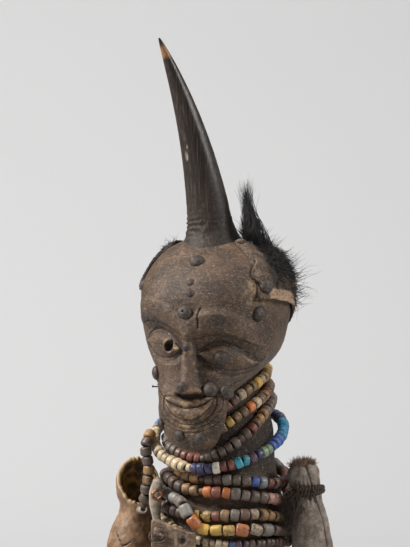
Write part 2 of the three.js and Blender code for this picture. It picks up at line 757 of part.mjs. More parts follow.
const ringGeometry = new THREE.TorusGeometry(ringRadius - ringWireRadius, ringWireRadius, 5, 14);
const ringMesh = addPiece('copper_ring', ringGeometry, colours.copper, 0.4, 0.8);
ringMesh.position.copy(boneMiddle).add(new THREE.Vector3(0, 0, 0.2 * bonePendantLength))
  .addScaledVector(pendantFacing, bonePendantRadius + ringWireRadius + 2 * clearance);
ringMesh.quaternion.setFromUnitVectors(new THREE.Vector3(0, 0, 1), pendantFacing);

const blockCorner = 3;
const blockBevel = 1;
const blockGeometry = () => {
  const outline = new THREE.Shape();
  const corner = blockCorner;
  outline.moveTo(corner, 0);
  outline.lineTo(blockWidth - corner, 0);
  outline.lineTo(blockWidth, corner);
  outline.lineTo(blockWidth, 0.76 * blockHeight);
  outline.lineTo(blockWidth - corner, 0.8 * blockHeight);
  outline.lineTo(corner, blockHeight);
  outline.lineTo(0, blockHeight - corner);
  outline.lineTo(0, corner);
  const block = new THREE.ExtrudeGeometry(outline, {
    depth: blockThickness - 2 * blockBevel,
    bevelThickness: blockBevel,
    bevelSize: blockBevel,
    bevelOffset: -blockBevel,
    bevelSegments: 1,
  });
  return block.translate(-blockWidth / 2, 0, blockBevel);
};
const blockMesh = addPiece('wooden_pendant', blockGeometry(), colours.wood, 0.7);
const blockTurn = THREE.MathUtils.degToRad(8);
blockMesh.rotation.set(Math.PI / 2, blockTurn, 0, 'ZXY');
const blockAhead = overStrands + 0.5 * blockWidth * Math.sin(blockTurn);
const blockFoot = 5;
const blockSide = 3;
blockMesh.position.set(-0.5 * blockWidth - blockSide, -blockAhead, blockFoot);

const pegGeometry = new THREE.CylinderGeometry(pegRadius, pegRadius, pegLength, 10);
pegGeometry.translate(0, pegLength / 2, 0);
const pegMesh = addPiece('gourd_bone_peg', pegGeometry, colours.bone, 0.6);
const pegFacing = new THREE.Vector3(0.6, -0.8, 0.1).normalize();
const pegShare = 0.55;
const pegSeat = readProfile(gourdRows, pegShare)[0] + 2 * clearance;
pegMesh.position.copy(onGourdAxis(pegShare)).addScaledVector(pegFacing, pegSeat);
pegMesh.quaternion.setFromUnitVectors(new THREE.Vector3(0, 1, 0), pegFacing);

// Bead strands are loops round the neck and chest. Each is first laid close to the wood and then pushed
// clear of the wood, the gourd, the bundle and the strands that were laid before it.
const trianglesOf = (mesh) => {
  mesh.updateMatrixWorld(true);
  const geometry = mesh.geometry.index ? mesh.geometry.toNonIndexed() : mesh.geometry;
  const { position } = geometry.attributes;
  const corner = (index) => new THREE.Vector3().fromBufferAttribute(position, index)
    .applyMatrix4(mesh.matrixWorld);
  const triangles = [];
  for (let index = 0; index < position.count; index += 3) {
    const triangle = new THREE.Triangle(corner(index), corner(index + 1), corner(index + 2));
    const middle = triangle.getMidpoint(new THREE.Vector3());
    const reach = Math.max(...[triangle.a, triangle.b, triangle.c].map((end) => middle.distanceTo(end)));
    const facing = triangle.getNormal(new THREE.Vector3());
    triangles.push({ triangle, middle, reach, facing });
  }
  return triangles;
};

// Strands stay out of the gourd's opening too, so it counts as whole here.
const gourdOutside = new THREE.Mesh(fromSolid(gourdWhole));
const walls = [bustMesh, gourdOutside, bundleMesh, cordMesh, boneMesh, ringMesh, blockMesh, pegMesh]
  .flatMap(trianglesOf);
const searchDepth = 16;

const pushOffWalls = (point, distance) => {
  let nearest = Infinity;
  const touch = new THREE.Vector3();
  const found = new THREE.Vector3();
  let facing = null;
  for (const wall of walls) {
    if (point.distanceTo(wall.middle) < searchDepth + wall.reach) {
      wall.triangle.closestPointToPoint(point, touch);
      const gap = point.distanceTo(touch);
      if (gap < nearest) {
        nearest = gap;
        found.copy(touch);
        facing = wall.facing;
      }
    }
  }
  if (!facing) {
    return;
  }
  const away = point.clone().sub(found);
  const inside = away.dot(facing) < 0;
  if (inside || nearest < distance) {
    away.multiplyScalar(inside ? -1 : 1).normalize();
    point.copy(found).addScaledVector(away.lengthSq() > 0 ? away : facing, distance);
  }
};

const laidBeads = [];
const pushOffBeads = (point, radius) => {
  for (const bead of laidBeads) {
    const apart = bead.radius + radius + clearance;
    const away = point.clone().sub(bead.middle);
    if (away.length() < apart) {
      point.addScaledVector(away.normalize(), apart - point.distanceTo(bead.middle));
    }
  }
};

// Levels and slack are given in evenly spaced directions: front, then turning to the near side and round
// the back.
const layLoop = (levels, slack, radius) => {
  const knots = levels.map((level, index) => {
    const angle = (2 * Math.PI * index) / levels.length;
    const up = level / 100;
    const [halfWidth, front, back] = readProfile(trunkRows, up);
    const [across, ahead] = sectionPoint(angle, halfWidth, front, back, trunkFullness);
    const point = new THREE.Vector3(across, -ahead, up).multiplyScalar(headHeight);
    const outward = new THREE.Vector3(Math.sin(angle), -Math.cos(angle), 0);
    return point.addScaledVector(outward, slack[index] + radius + clearance);
  });
  return new THREE.CatmullRomCurve3(knots, true, 'centripetal');
};

const settleRounds = 10;
const lastSmoothRound = 7;
const spotSpacing = 3.4;
const smoothing = 0.25;
// The straight sides of a tube cut a little inside its curve, so that the curve keeps this much further off.
const curveMargin = 0.25;

const settle = (curve, radius, closed) => {
  const count = Math.round(curve.getLength() / spotSpacing);
  const spots = curve.getSpacedPoints(count);
  if (closed) {
    spots.pop();
  }
  const distance = radius + clearance + curveMargin;
  for (let round = 0; round < settleRounds; round += 1) {
    const before = spots.map((spot) => spot.clone());
    spots.forEach((spot, index) => {
      const ends = !closed && (index === 0 || index === spots.length - 1);
      if (!ends && round <= lastSmoothRound) {
        const previous = before[(index + spots.length - 1) % spots.length];
        const next = before[(index + 1) % spots.length];
        spot.lerp(previous.clone().add(next).multiplyScalar(0.5), smoothing);
      }
      pushOffBeads(spot, radius + curveMargin);
      pushOffWalls(spot, distance);
    });
  }
  spots.forEach((spot) => laidBeads.push({ middle: spot.clone(), radius }));
  return new THREE.CatmullRomCurve3(spots, closed);
};

const grooveShare = 0.76;
const beadSides = 5;

// A strand is a chain of beads that touch end to end, wide in the middle and narrow where they meet.
const addStrand = (name, curve, radius, length, colour, closed = true) => {
  const beads = Math.round(curve.getLength() / length);
  const widthAt = (share, step) => (step % 2 === 0 ? grooveShare * radius : radius);
  const rings = tubeRings(curve, 2 * beads, beadSides, widthAt, closed);
  addPiece(name, closed ? loopRings(rings) : stackRings(rings), colour, 0.6);
};

// The lowest thick strand runs behind the top of the wooden pendant and behind the gourd's upper bulb.
const levelOf = (height) => (100 * height) / headHeight;
const blockLevel = levelOf(blockFoot + 0.87 * blockHeight);
const bulbLevel = levelOf(hangingGap + 0.82 * gourdHeight);

// Each loop, from the innermost: its levels are hundredths of the head height above the underside, and its
// slack is how far it hangs off the wood, in millimetres.
const loops = [
  {
    name: 'strand_yellow_upper',
    radius: beadRadius,
    length: 2 * beadLength,
    levels: [79, 91, 98, 103, 104, 101, 96, 87],
    slack: [0, 0, 0, 0, 0, 0, 0, 0],
    colour: colours.bead,
  },
  {
    name: 'strand_yellow_lower',
    radius: beadRadius,
    length: beadLength,
    levels: [72, 83, 91, 96, 97, 95, 89, 79],
    slack: [0, 0, 0, 0, 0, 0, 0, 0],
    colour: colours.bead,
  },
  {
    name: 'strand_grey_disc',
    radius: beadRadius,
    length: 2 * beadLength,
    levels: [60, 73, 87, 91, 91, 85, 72, 65],
    slack: [1, 0, 0, 0, 0, 0, 3, 2],
    colour: colours.bead,
  },
  {
    name: 'strand_cream_and_blue',
    radius: beadRadius,
    length: beadLength,
    levels: [56, 61, 71, 80, 84, 81, 75, 63],
    slack: [6, 6, 4.5, 3, 1, 3, 7, 7],
    colour: colours.cream,
  },
  {
    name: 'strand_grey_brown',
    radius: beadRadius,
    length: 2 * beadLength,
    levels: [53, 50, 49, 56, 63, 64, 63, 59],
    slack: [2, 2, 2, 1, 1, 1, 1, 2],
    colour: colours.bead,
  },
  {
    name: 'strand_orange_and_brown',
    radius: beadRadius,
    length: beadLength,
    levels: [47, 43, 42, 48, 53, 55, 53, 52],
    slack: [2, 2, 1, 1, 1, 1, 1, 2],
    colour: colours.bead,
  },
  {
    name: 'strand_ochre_and_red',
    radius: beadRadius,
    length: beadLength,
    levels: [34, 35, 33, 39, 43, 44, 43, 38],
    slack: [1, 1, 1, 1, 1, 1, 1, 1],
    colour: colours.bead,
  },
  {
    name: 'strand_grey_and_yellow',
    radius: beadRadius,
    length: beadLength,
    levels: [blockLevel, 28, 27, 31, 35, 41, bulbLevel, bulbLevel - 3],
    slack: [3, 3, 2, 1, 1, 1, 2, 3],
    colour: colours.bead,
  },
  {
    name: 'strand_cream_disc',
    radius: discRadius,
    length: 2 * beadLength,
    levels: [22, 21, 24, 28, 31, 33, 36, 32],
    slack: [1, 1, 1, 1, 1, 1, 1, 1],
    colour: colours.cream,
  },
];

for (const { name, radius, length, levels, slack, colour } of loops) {
  addStrand(name, settle(layLoop(levels, slack, radius), radius, true), radius, length, colour);
}

// The gourd hangs on a short string of beads at the far side: shares of the head height, from the top.
const gourdStringRoute = [
  [-0.3, 0.175, 0.747],
  [-0.287, 0.213, 0.66],
  [-0.293, 0.227, 0.533],
  [-0.313, 0.213, 0.44],
  [-0.34, 0.193, 0.373],
];
const gourdStringKnots = gourdStringRoute.map(([across, ahead, up]) => (
  new THREE.Vector3(across, -ahead, up).multiplyScalar(headHeight)
));
const gourdString = settle(new THREE.CatmullRomCurve3(gourdStringKnots), beadRadius, false);
addStrand('gourd_bead_string', gourdString, beadRadius, beadLength, colours.bead, false);

export default figure;
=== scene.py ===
"""A carved wooden power figure with a horn, a fur hide, tacks, beads, a gourd and a hide bundle.

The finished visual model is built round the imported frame, in the same axes: +Z up, the face looks along -Y,
and the origin is the middle of the flat underside. Shapes are worked out in millimetres and shown in metres.
"""

import logging
import math
from collections.abc import Sequence
from dataclasses import dataclass, field, replace
from enum import Enum
from functools import partialmethod

import bpy
import numpy as np
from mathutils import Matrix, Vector, noise


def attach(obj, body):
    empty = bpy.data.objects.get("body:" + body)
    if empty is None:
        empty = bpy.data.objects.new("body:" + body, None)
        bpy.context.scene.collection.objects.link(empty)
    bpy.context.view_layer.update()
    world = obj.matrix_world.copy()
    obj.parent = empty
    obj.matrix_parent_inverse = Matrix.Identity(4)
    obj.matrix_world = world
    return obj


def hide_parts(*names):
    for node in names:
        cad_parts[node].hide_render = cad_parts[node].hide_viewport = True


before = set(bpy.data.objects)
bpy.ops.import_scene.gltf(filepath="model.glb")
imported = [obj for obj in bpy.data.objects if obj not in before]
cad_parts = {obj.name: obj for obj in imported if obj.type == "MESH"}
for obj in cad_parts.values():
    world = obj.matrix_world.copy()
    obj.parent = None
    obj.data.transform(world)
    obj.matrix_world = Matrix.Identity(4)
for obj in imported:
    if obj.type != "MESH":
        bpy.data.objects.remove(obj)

LOG = logging.getLogger("power_figure")
MM = 0.001
HEAD = 150.0
CHIN = 0.64 * HEAD
CROWN = CHIN + HEAD
CLEARANCE = 0.3
CORD_LEVEL = 0.457 * HEAD
SHOWN_X, SHOWN_Y = 0.94, 0.342
UP = np.array([0.0, 0.0, 1.0])
RIGHT = np.array([1.0, 0.0, 0.0])

Array = np.ndarray
Colour = tuple[float, float, float]


# Numbers and curves


def ease(start: float, end: float, value: Array) -> Array:
    """Smooth step of a value from 0 at the start to 1 at the end."""
    share = np.clip((value - start) / (end - start), 0.0, 1.0)
    return share * share * (3 - 2 * share)


def bell(middle: float, reach: float, value: Array) -> Array:
    """A smooth hump of height 1 round the middle, 0 beyond its reach."""
    return np.clip(1 - ((value - middle) / reach) ** 2, 0.0, 1.0) ** 2


def unit(vectors: Array) -> Array:
    """The same vectors with length 1."""
    return vectors / np.maximum(np.linalg.norm(vectors, axis=-1, keepdims=True), 1e-9)


def guide_for(way: Array) -> Array:
    """An axis that is well away from the given direction."""
    return UP if abs(way[2]) < 0.9 else RIGHT


def square_to(way: Array) -> tuple[Array, Array]:
    """Two directions square to the given one and to each other."""
    first = unit(np.cross(guide_for(way), way))
    return first, np.cross(way, first)


def turns(count: int) -> Array:
    """Evenly spread angles all the way round, in radians."""
    return 2 * np.pi * np.arange(count) / count


def spokes(first: Array, second: Array, turn: Array) -> Array:
    """Directions that turn from the first way to the second, with the turns before the coordinates."""
    return first[..., None, :] * np.cos(turn)[..., None] + second[..., None, :] * np.sin(turn)[..., None]


def bow(first: Array, bend: Array, last: Array, share: Array) -> Array:
    """Points on a curve from the first point to the last that is pulled towards the bend."""
    return (1 - share) ** 2 * first + 2 * share * (1 - share) * bend + share**2 * last


def ball(columns: int, rows: int, reach: float) -> tuple[Array, Array, Array]:
    """Points of a unit ball up to a tilt near its poles, with their turns and tilts."""
    turn, tilt = np.meshgrid(turns(columns), np.linspace(-reach, reach, rows))
    return np.stack([np.cos(tilt) * np.cos(turn), np.cos(tilt) * np.sin(turn), np.sin(tilt)], -1), turn, tilt


def as_shown(points: Array) -> tuple[Array, Array]:
    """How far points are across the side that the picture shows, and how far towards its viewer."""
    x, y = points[..., 0], points[..., 1]
    return SHOWN_X * x + SHOWN_Y * y, SHOWN_Y * x - SHOWN_X * y


def read_profile(rows: Sequence[Sequence[float]], position: Array) -> list[Array]:
    """Reads rows of [position, size, size, ...] with a smooth curve between the rows.

    Args:
        rows: The rows, in rising order of position.
        position: Where to read, in any shape.

    Returns:
        One array for each size, in the shape of the position.
    """
    table = np.array(rows, float)
    knots = table[:, 0]
    last = len(knots) - 1
    at = np.clip(position, knots[0], knots[-1])
    low = np.clip(np.searchsorted(knots, at, side="left") - 1, 0, last - 1)
    high = low + 1
    before = np.maximum(low - 1, 0)
    after = np.minimum(low + 2, last)
    span = knots[high] - knots[low]
    share = (at - knots[low]) / span
    square = share**2
    cube = share**3
    sizes = []
    for column in table[:, 1:].T:
        slope_low = (column[high] - column[before]) / (knots[high] - knots[before])
        slope_high = (column[after] - column[low]) / (knots[after] - knots[low])
        sizes.append(
            (2 * cube - 3 * square + 1) * column[low]
            + (cube - 2 * square + share) * span * slope_low
            + (3 * square - 2 * cube) * column[high]
            + (cube - square) * span * slope_high
        )
    return sizes


def section_point(
    angle: Array, half_width: Array, front: Array, back: Array, fullness: float
) -> tuple[Array, Array]:
    """A point on a rounded section that is deeper before its middle than behind it.

    Args:
        angle: The turn from the front, in radians.
        half_width: Half the section's width.
        front: Its depth before the middle.
        back: Its depth behind the middle.
        fullness: Over 1 squares the corners.

    Returns:
        How far across and how far ahead the point is.
    """

    def bulge(value: Array) -> Array:
        """A sine or cosine, pushed out towards the corners."""
        return np.sign(value) * np.abs(value) ** (1 / fullness)

    depth = np.where(np.cos(angle) > 0, front, back)
    return half_width * bulge(np.sin(angle)), depth * bulge(np.cos(angle))


def rough(points: Array, scale: Sequence[float] | float, octaves: int = 3, seed: float = 0.0) -> Array:
    """Smooth random heights, about -1 to 1, over points in millimetres.

    Args:
        points: The points, with their coordinates last.
        scale: The size of the largest lumps in millimetres, for all axes or one for each.
        octaves: How many finer layers are added.
        seed: A shift that gives another pattern.

    Returns:
        One height for each point.
    """
    flat = (points / np.array(scale, float) + seed).reshape(-1, 3)
    heights = [noise.fractal(Vector(point), 0.9, 2.1, octaves) for point in flat]
    return np.array(heights).reshape(points.shape[:-1])


def smooth_path(knots: Sequence[Sequence[float]], count: int, closed: bool = False) -> Array:
    """Evenly spread points on a smooth curve through the knots.

    Args:
        knots: The points that the curve runs through.
        count: How many points to give.
        closed: Whether the curve closes on itself.

    Returns:
        The points, one row each.
    """
    given = np.array(knots, float)
    if closed:
        given = np.vstack([given[-1], given, given[:2]])
    else:
        given = np.vstack([2 * given[0] - given[1], given, 2 * given[-1] - given[-2]])
    share = np.linspace(0, 1, 24, endpoint=False)[:, None]
    fine = []
    for a, b, c, d in zip(given, given[1:], given[2:], given[3:]):
        curve = 2 * b + (c - a) * share + (2 * a - 5 * b + 4 * c - d) * share**2
        fine.append(0.5 * (curve + (3 * b - a - 3 * c + d) * share**3))
    return spread(np.vstack([*fine, given[-2:-1]]), count, closed)


def spread(path: Array, count: int, closed: bool = False) -> Array:
    """The same path with its points spread evenly along it.

    Args:
        path: The points of the path.
        count: How many points are wanted.
        closed: Whether the last point, which repeats the first, is left out.

    Returns:
        The new points.
    """
    lengths = np.concatenate([[0], np.cumsum(np.linalg.norm(np.diff(path, axis=0), axis=1))])
    places = np.linspace(0, lengths[-1], count, endpoint=not closed)
    return np.stack([np.interp(places, lengths, path[:, axis]) for axis in range(3)], axis=1)


def path_frames(path: Array, closed: bool = False) -> tuple[Array, Array, Array]:
    """Directions that follow a path without twisting.

    Args:
        path: The points of the path.
        closed: Whether its last point leads back to the first.

    Returns:
        The heading at each point and two directions square to it.
    """
    if closed:
        heading = unit(np.roll(path, -1, axis=0) - np.roll(path, 1, axis=0))
    else:
        heading = unit(np.gradient(path, axis=0))
    first = []
    side = guide_for(heading[0])
    for direction in heading:
        side = side - direction * np.dot(side, direction)
        side = side / max(np.linalg.norm(side), 1e-9)
        first.append(side)
    sides = np.array(first)
    return heading, sides, np.cross(heading, sides)


# Shader nodes


class Shade:
    """One output of a material's nodes. Its operators add the node that works out the result."""

    def __init__(self, graph: "Graph", socket: bpy.types.NodeSocket) -> None:
        """Wraps an output socket of the graph."""
        self.graph = graph
        self.socket = socket

    def _join(self, other: "Shade | float", operation: str, swapped: bool = False) -> "Shade":
        """Adds the node that joins this output and another value.

        Args:
            other: The other output or number.
            operation: ADD, SUBTRACT or MULTIPLY.
            swapped: Whether the other value comes first.

        Returns:
            The output of the new node.
        """
        first, second = (other, self) if swapped else (self, other)
        if self.socket.type == "RGBA":
            settings = {"data_type": "RGBA", "blend_type": operation}
            return self.graph.node("ShaderNodeMix", settings, {0: 1.0, 6: first, 7: second}, 2)
        return self.graph.node("ShaderNodeMath", {"operation": operation}, {0: first, 1: second})

    __add__ = partialmethod(_join, operation="ADD")
    __radd__ = partialmethod(_join, operation="ADD", swapped=True)
    __sub__ = partialmethod(_join, operation="SUBTRACT")
    __rsub__ = partialmethod(_join, operation="SUBTRACT", swapped=True)
    __mul__ = partialmethod(_join, operation="MULTIPLY")
    __rmul__ = partialmethod(_join, operation="MULTIPLY", swapped=True)

    def step(self, start: float, end: float) -> "Shade":
        """A smooth step from 0 at the start to 1 at the end.

        Args:
            start: The value where the step starts.
            end: The value where it ends.

        Returns:
            The step.
        """
        settings = {"interpolation_type": "SMOOTHSTEP", "clamp": True}
        sockets = {"Value": self, "From Min": start, "From Max": end, "To Min": 0.0, "To Max": 1.0}
        return self.graph.node("ShaderNodeMapRange", settings, sockets)


class Graph:
    """The node tree of one material."""

    def __init__(self, name: str) -> None:
        """Starts an empty node material.

        Args:
            name: The material's name.
        """
        self.material = bpy.data.materials.new(name)
        self.material.use_nodes = True
        self.tree = self.material.node_tree
        self.tree.nodes.clear()

    def node(
        self,
        kind: str,
        settings: dict[str, object] | None = None,
        sockets: dict[str | int, object] | None = None,
        output: int = 0,
    ) -> Shade:
        """Adds one node.

        Args:
            kind: The node's type.
            settings: Its settings by name.
            sockets: What its inputs hold, by name or place: an output, a number or a colour.
            output: Which of its outputs to give.

        Returns:
            The asked output.
        """
        made = self.tree.nodes.new(kind)
        for name, value in (settings or {}).items():
            setattr(made, name, value)
        for key, value in (sockets or {}).items():
            self._fill(made.inputs[key], value)
        return Shade(self, made.outputs[output]) if made.outputs else None

    def _fill(self, socket: bpy.types.NodeSocket, value: object) -> None:
        """Links an output to a socket, or sets the socket's own value.

        Args:
            socket: The input socket.
            value: An output, a number or a colour.
        """
        if isinstance(value, Shade):
            self.tree.links.new(value.socket, socket)
        elif socket.type == "RGBA":
            socket.default_value = (*value, 1.0)
        else:
            socket.default_value = value

    def place(self, stretch: Colour) -> Shade:
        """Object coordinates in metres, stretched."""
        spot = self.node("ShaderNodeTexCoord", output=3)
        return self.node("ShaderNodeVectorMath", {"operation": "MULTIPLY"}, {0: spot, 1: stretch})

    def noise(
        self, size_mm: float, detail: float, stretch: Colour = (1.0, 1.0, 1.0), **more: float
    ) -> Shade:
        """Random values from 0 to 1 with lumps of about that size."""
        sockets = {"Vector": self.place(stretch), "Scale": 1 / (size_mm * MM), "Detail": detail, **more}
        return self.node("ShaderNodeTexNoise", None, sockets)

    def cells(self, size_mm: float, feature: str = "F1") -> Shade:
        """Distances to scattered points that are about that far apart."""
        sockets = {"Vector": self.place((1.0, 1.0, 1.0)), "Scale": 1 / (size_mm * MM)}
        return self.node("ShaderNodeTexVoronoi", {"feature": feature}, sockets)

    def layer(self, name: str) -> Shade:
        """A number that is stored on the mesh under that name."""
        return self.node("ShaderNodeAttribute", {"attribute_name": name}, output=2)

    def tint(self, name: str) -> Shade:
        """A colour that is stored on the mesh under that name."""
        return self.node("ShaderNodeAttribute", {"attribute_name": name})

    def mix(self, share: Shade | float, first: Shade | Colour, second: Shade | Colour) -> Shade:
        """The first colour, turning into the second as the share goes to 1."""
        settings = {"data_type": "RGBA", "clamp_factor": True}
        return self.node("ShaderNodeMix", settings, {0: share, 6: first, 7: second}, 2)

    def bump(self, height: Shade, depth_mm: float) -> Shade:
        """A normal that shows the height as relief of that depth."""
        sockets = {"Height": height, "Distance": depth_mm * MM, "Strength": 1.0}
        return self.node("ShaderNodeBump", None, sockets)

    def finish(
        self,
        colour: Shade,
        roughness: Shade,
        normal: Shade,
        specular: float = 0.5,
        metallic: Shade | float = 0.0,
    ) -> bpy.types.Material:
        """Closes the tree with a Principled shader.

        Args:
            colour: The base colour.
            roughness: How dull the surface is.
            normal: The relief.
            specular: The strength of its gloss.
            metallic: How metallic it is.

        Returns:
            The material.
        """
        sockets = {"Base Color": colour, "Roughness": roughness, "Normal": normal}
        sockets |= {"Specular IOR Level": specular, "Metallic": metallic}
        shader = self.node("ShaderNodeBsdfPrincipled", None, sockets)
        self.node("ShaderNodeOutputMaterial", None, {"Surface": shader})
        return self.material


# Meshes


@dataclass
class Form:
    """A growing mesh in millimetres: points, triangles, and a number or colour for each point by name."""

    points: list[Array] = field(default_factory=list)
    triangles: list[Array] = field(default_factory=list)
    layers: dict[str, list[Array]] = field(default_factory=dict)
    tints: list[Array] = field(default_factory=list)
    count: int = 0

    def add(self, points: Array, triangles: Array, tint: Colour | Array | None, **layers: Array) -> None:
        """Adds points and the triangles between them.

        Args:
            points: The points, one row each.
            triangles: Their corners, counted from the first of these points.
            tint: A colour for all of them, or one for each.
            layers: A number for each point under each name.
        """
        total = len(points)
        self.points.append(points)
        self.triangles.append(triangles + self.count)
        for name, values in layers.items():
            self.layers.setdefault(name, []).append(np.broadcast_to(values, (total,)))
        if tint is not None:
            self.tints.append(np.broadcast_to(np.array(tint, float), (total, 3)))
        self.count += total

    def grid(self, rings: Array, looped: bool = False, tint: Colour | None = None, **layers: Array) -> None:
        """Adds the skin over closed rings of points. A fan closes each end, unless the skin is looped.

        Args:
            rings: The points, by ring and then by side.
            looped: Whether the last ring joins the first.
            tint: A colour for all points.
            layers: A number for each point, by ring and side, under each name.
        """
        ring_count, side_count = rings.shape[:2]
        fan = np.arange(side_count)
        ring = np.arange(ring_count if looped else ring_count - 1)
        ring, side = (table.ravel() for table in np.meshgrid(ring, fan, indexing="ij"))
        next_ring, next_side = (ring + 1) % ring_count, (side + 1) % side_count
        a, b = ring * side_count + side, ring * side_count + next_side
        c, d = next_ring * side_count + next_side, next_ring * side_count + side
        triangles = [np.stack([a, b, c], 1), np.stack([a, c, d], 1)]
        points = [rings.reshape(-1, 3)]
        extra = {
            name: [np.broadcast_to(values, rings.shape[:2]).reshape(-1)] for name, values in layers.items()
        }
        for end in () if looped else (0, 1):
            start = (ring_count - 1) * end * side_count
            points.append(rings[-end].mean(0, keepdims=True))
            pair = (start + fan, start + (fan + 1) % side_count)
            middle = np.full(side_count, ring_count * side_count + end)
            triangles.append(np.stack([middle, *(pair if end else pair[::-1])], 1))
            for parts in extra.values():
                parts.append([parts[0][start]])
        joined = {name: np.concatenate(parts) for name, parts in extra.items()}
        self.add(np.vstack(points), np.vstack(triangles), tint, **joined)

    def tube(
        self,
        path: Array,
        radius: Array | float,
        sides: int = 6,
        closed: bool = False,
        tint: Colour | None = None,
        **layers: Array,
    ) -> None:
        """Adds a tube along a path, with its ends closed.

        Args:
            path: The points along its middle.
            radius: Its radius, or one for each point.
            sides: How many sides it has.
            closed: Whether it is a loop.
            tint: A colour for all points.
            layers: Numbers for its points under each name.
        """
        _, first, second = path_frames(path, closed)
        reach = np.reshape(radius, (-1, 1, 1))
        self.grid(path[:, None] + reach * spokes(first, second, turns(sides)), closed, tint, **layers)

    def strands(self, paths: Array, radius: float, tint: Array) -> None:
        """Adds many thin three-sided hairs at once.

        Args:
            paths: The hairs' points, by hair, then along it, from root to tip.
            radius: The radius at the root, which runs out to nothing.
            tint: A colour for each hair.
        """
        hairs, steps = paths.shape[:2]
        heading = unit(np.gradient(paths, axis=1))
        first = unit(np.cross(heading, np.where(np.abs(heading[:, :1, 2:]) < 0.8, UP, RIGHT)))
        second = np.cross(heading, first)
        width = radius * (1 - np.linspace(0, 1, steps) ** 2 * 0.85)[:, None, None]
        points = paths[:, :, None] + width * spokes(first, second, turns(3))
        step, side = np.divmod(np.arange(3 * (steps - 1)), 3)
        turned = (side + 1) % 3
        a, b, c, d = step * 3 + side, step * 3 + turned, step * 3 + 3 + turned, step * 3 + 3 + side
        last = 3 * (steps - 1)
        ends = [[0, 2, 1], [last, last + 1, last + 2]]
        one = np.vstack([np.stack([a, b, c], 1), np.stack([a, c, d], 1), ends])
        triangles = (one[None] + (np.arange(hairs) * steps * 3)[:, None, None]).reshape(-1, 3)
        self.add(points.reshape(-1, 3), triangles, np.repeat(tint, steps * 3, axis=0))

    def piece(self, name: str, material: bpy.types.Material, slot: str, *replaces: str) -> None:
        """Makes the object, puts it on the frame's body and reports it.

        Args:
            name: The piece's name.
            material: Its finish.
            slot: The material slot; not used.
            replaces: The CAD nodes that it stands for.
        """
        mesh = bpy.data.meshes.new(name)
        points = np.vstack(self.points) * MM
        triangles = np.vstack(self.triangles)
        mesh.from_pydata(points.tolist(), [], triangles.tolist())
        for layer, parts in self.layers.items():
            values = np.concatenate(parts).astype(np.float32)
            mesh.attributes.new(layer, "FLOAT", "POINT").data.foreach_set("value", values)
        if self.tints:
            tints = np.vstack(self.tints)
            colours = np.hstack([tints, np.ones((len(tints), 1))]).astype(np.float32)
            mesh.attributes.new("tint", "FLOAT_COLOR", "POINT").data.foreach_set("color", colours.ravel())
        mesh.polygons.foreach_set("use_smooth", [True] * len(mesh.polygons))
        mesh.materials.append(material)
        mesh.update()
        made = bpy.data.objects.new(name, mesh)
        bpy.context.scene.collection.objects.link(made)
        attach(made, "root")
        if replaces:
            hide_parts(*replaces)
        LOG.info("%s: %d triangles", name, len(triangles))


def node_mesh(name: str) -> tuple[Array, Array]:
    """A CAD node's corners in millimetres and its triangles.

    Args:
        name: The CAD node.

    Returns:
        Its corners and the triples of corners.
    """
    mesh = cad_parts[name].data
    mesh.calc_loop_triangles()
    corners = np.array([vertex.co[:] for vertex in mesh.vertices]) / MM
    triangles = np.array([triangle.vertices[:] for triangle in mesh.loop_triangles])
    return corners, triangles


@dataclass
class Seat:
    """Where a round piece sits: the middle of its flat foot, the way that it faces, and its radius."""

    foot: Array
    facing: Array
    radius: float

    @classmethod
    def of_node(cls, name: str) -> "Seat":
        """Finds the flat foot of a CAD node, which is its largest flat face.

        Args:
            name: The CAD node.

        Returns:
            The seat.
        """
        corners, triangles = node_mesh(name)
        a, b, c = (corners[triangles[:, corner]] for corner in range(3))
        normals = np.cross(b - a, c - a) / 2
        ways = unit(normals)
        sizes = np.linalg.norm(normals, axis=1)
        same_way = 0.9999
        flat = [np.where(ways @ way > same_way, sizes, 0).sum() for way in ways]
        base = ways[int(np.argmax(flat))]
        foot = corners[triangles[ways @ base > same_way].ravel()]
        middle = np.unique(foot.round(4), axis=0).mean(0)
        return cls(middle, -base, float(np.linalg.norm(foot - middle, axis=1).max()))


def node_centreline(name: str, radius: float, groove: float, closed: bool = True) -> Array:
    """Follows the middle of a CAD strand of beads.

    Args:
        name: The CAD node.
        radius: The radius of its beads.
        groove: The radius where two beads meet, as a share.
        closed: Whether the strand is a loop.

    Returns:
        Points along its middle, in millimetres, about 2 mm apart.
    """
    corners, triangles = node_mesh(name)
    merged, inverse = np.unique(corners.round(3), axis=0, return_inverse=True)
    triangles = inverse.ravel()[triangles]
    a, b, c = (merged[triangles[:, corner]] for corner in range(3))
    faces = np.cross(b - a, c - a)
    normals = np.zeros_like(merged)
    for corner in range(3):
        np.add.at(normals, triangles[:, corner], faces)
    cloud = merged - unit(normals) * radius * (1 + groove) / 2
    cloud = np.vstack([cloud, cloud[triangles].mean(1)])
    step, most_steps = 2.0, 400
    start = cloud[int(np.argmin(cloud[:, 1]))] if closed else cloud[int(np.argmax(cloud[:, 2]))]
    spot = cloud[np.linalg.norm(cloud - start, axis=1) < 1.4 * radius].mean(0)
    heading = RIGHT if closed else -UP
    path = [spot]
    for _ in range(most_steps):
        ahead = path[-1] + heading * step
        weight = np.exp(-((np.linalg.norm(cloud - ahead, axis=1) / radius) ** 2))
        if weight.max() < 0.5 and not closed:
            break
        aside = (cloud * weight[:, None]).sum(0) / weight.sum() - ahead
        spot = ahead + aside - heading * (aside @ heading)
        heading = unit(0.6 * heading + 0.4 * unit(spot - path[-1]))
        path.append(spot)
        if closed and len(path) > 20 and np.linalg.norm(spot - path[0]) < 1.3 * step:
            break
    return np.array(path)


# Finishes


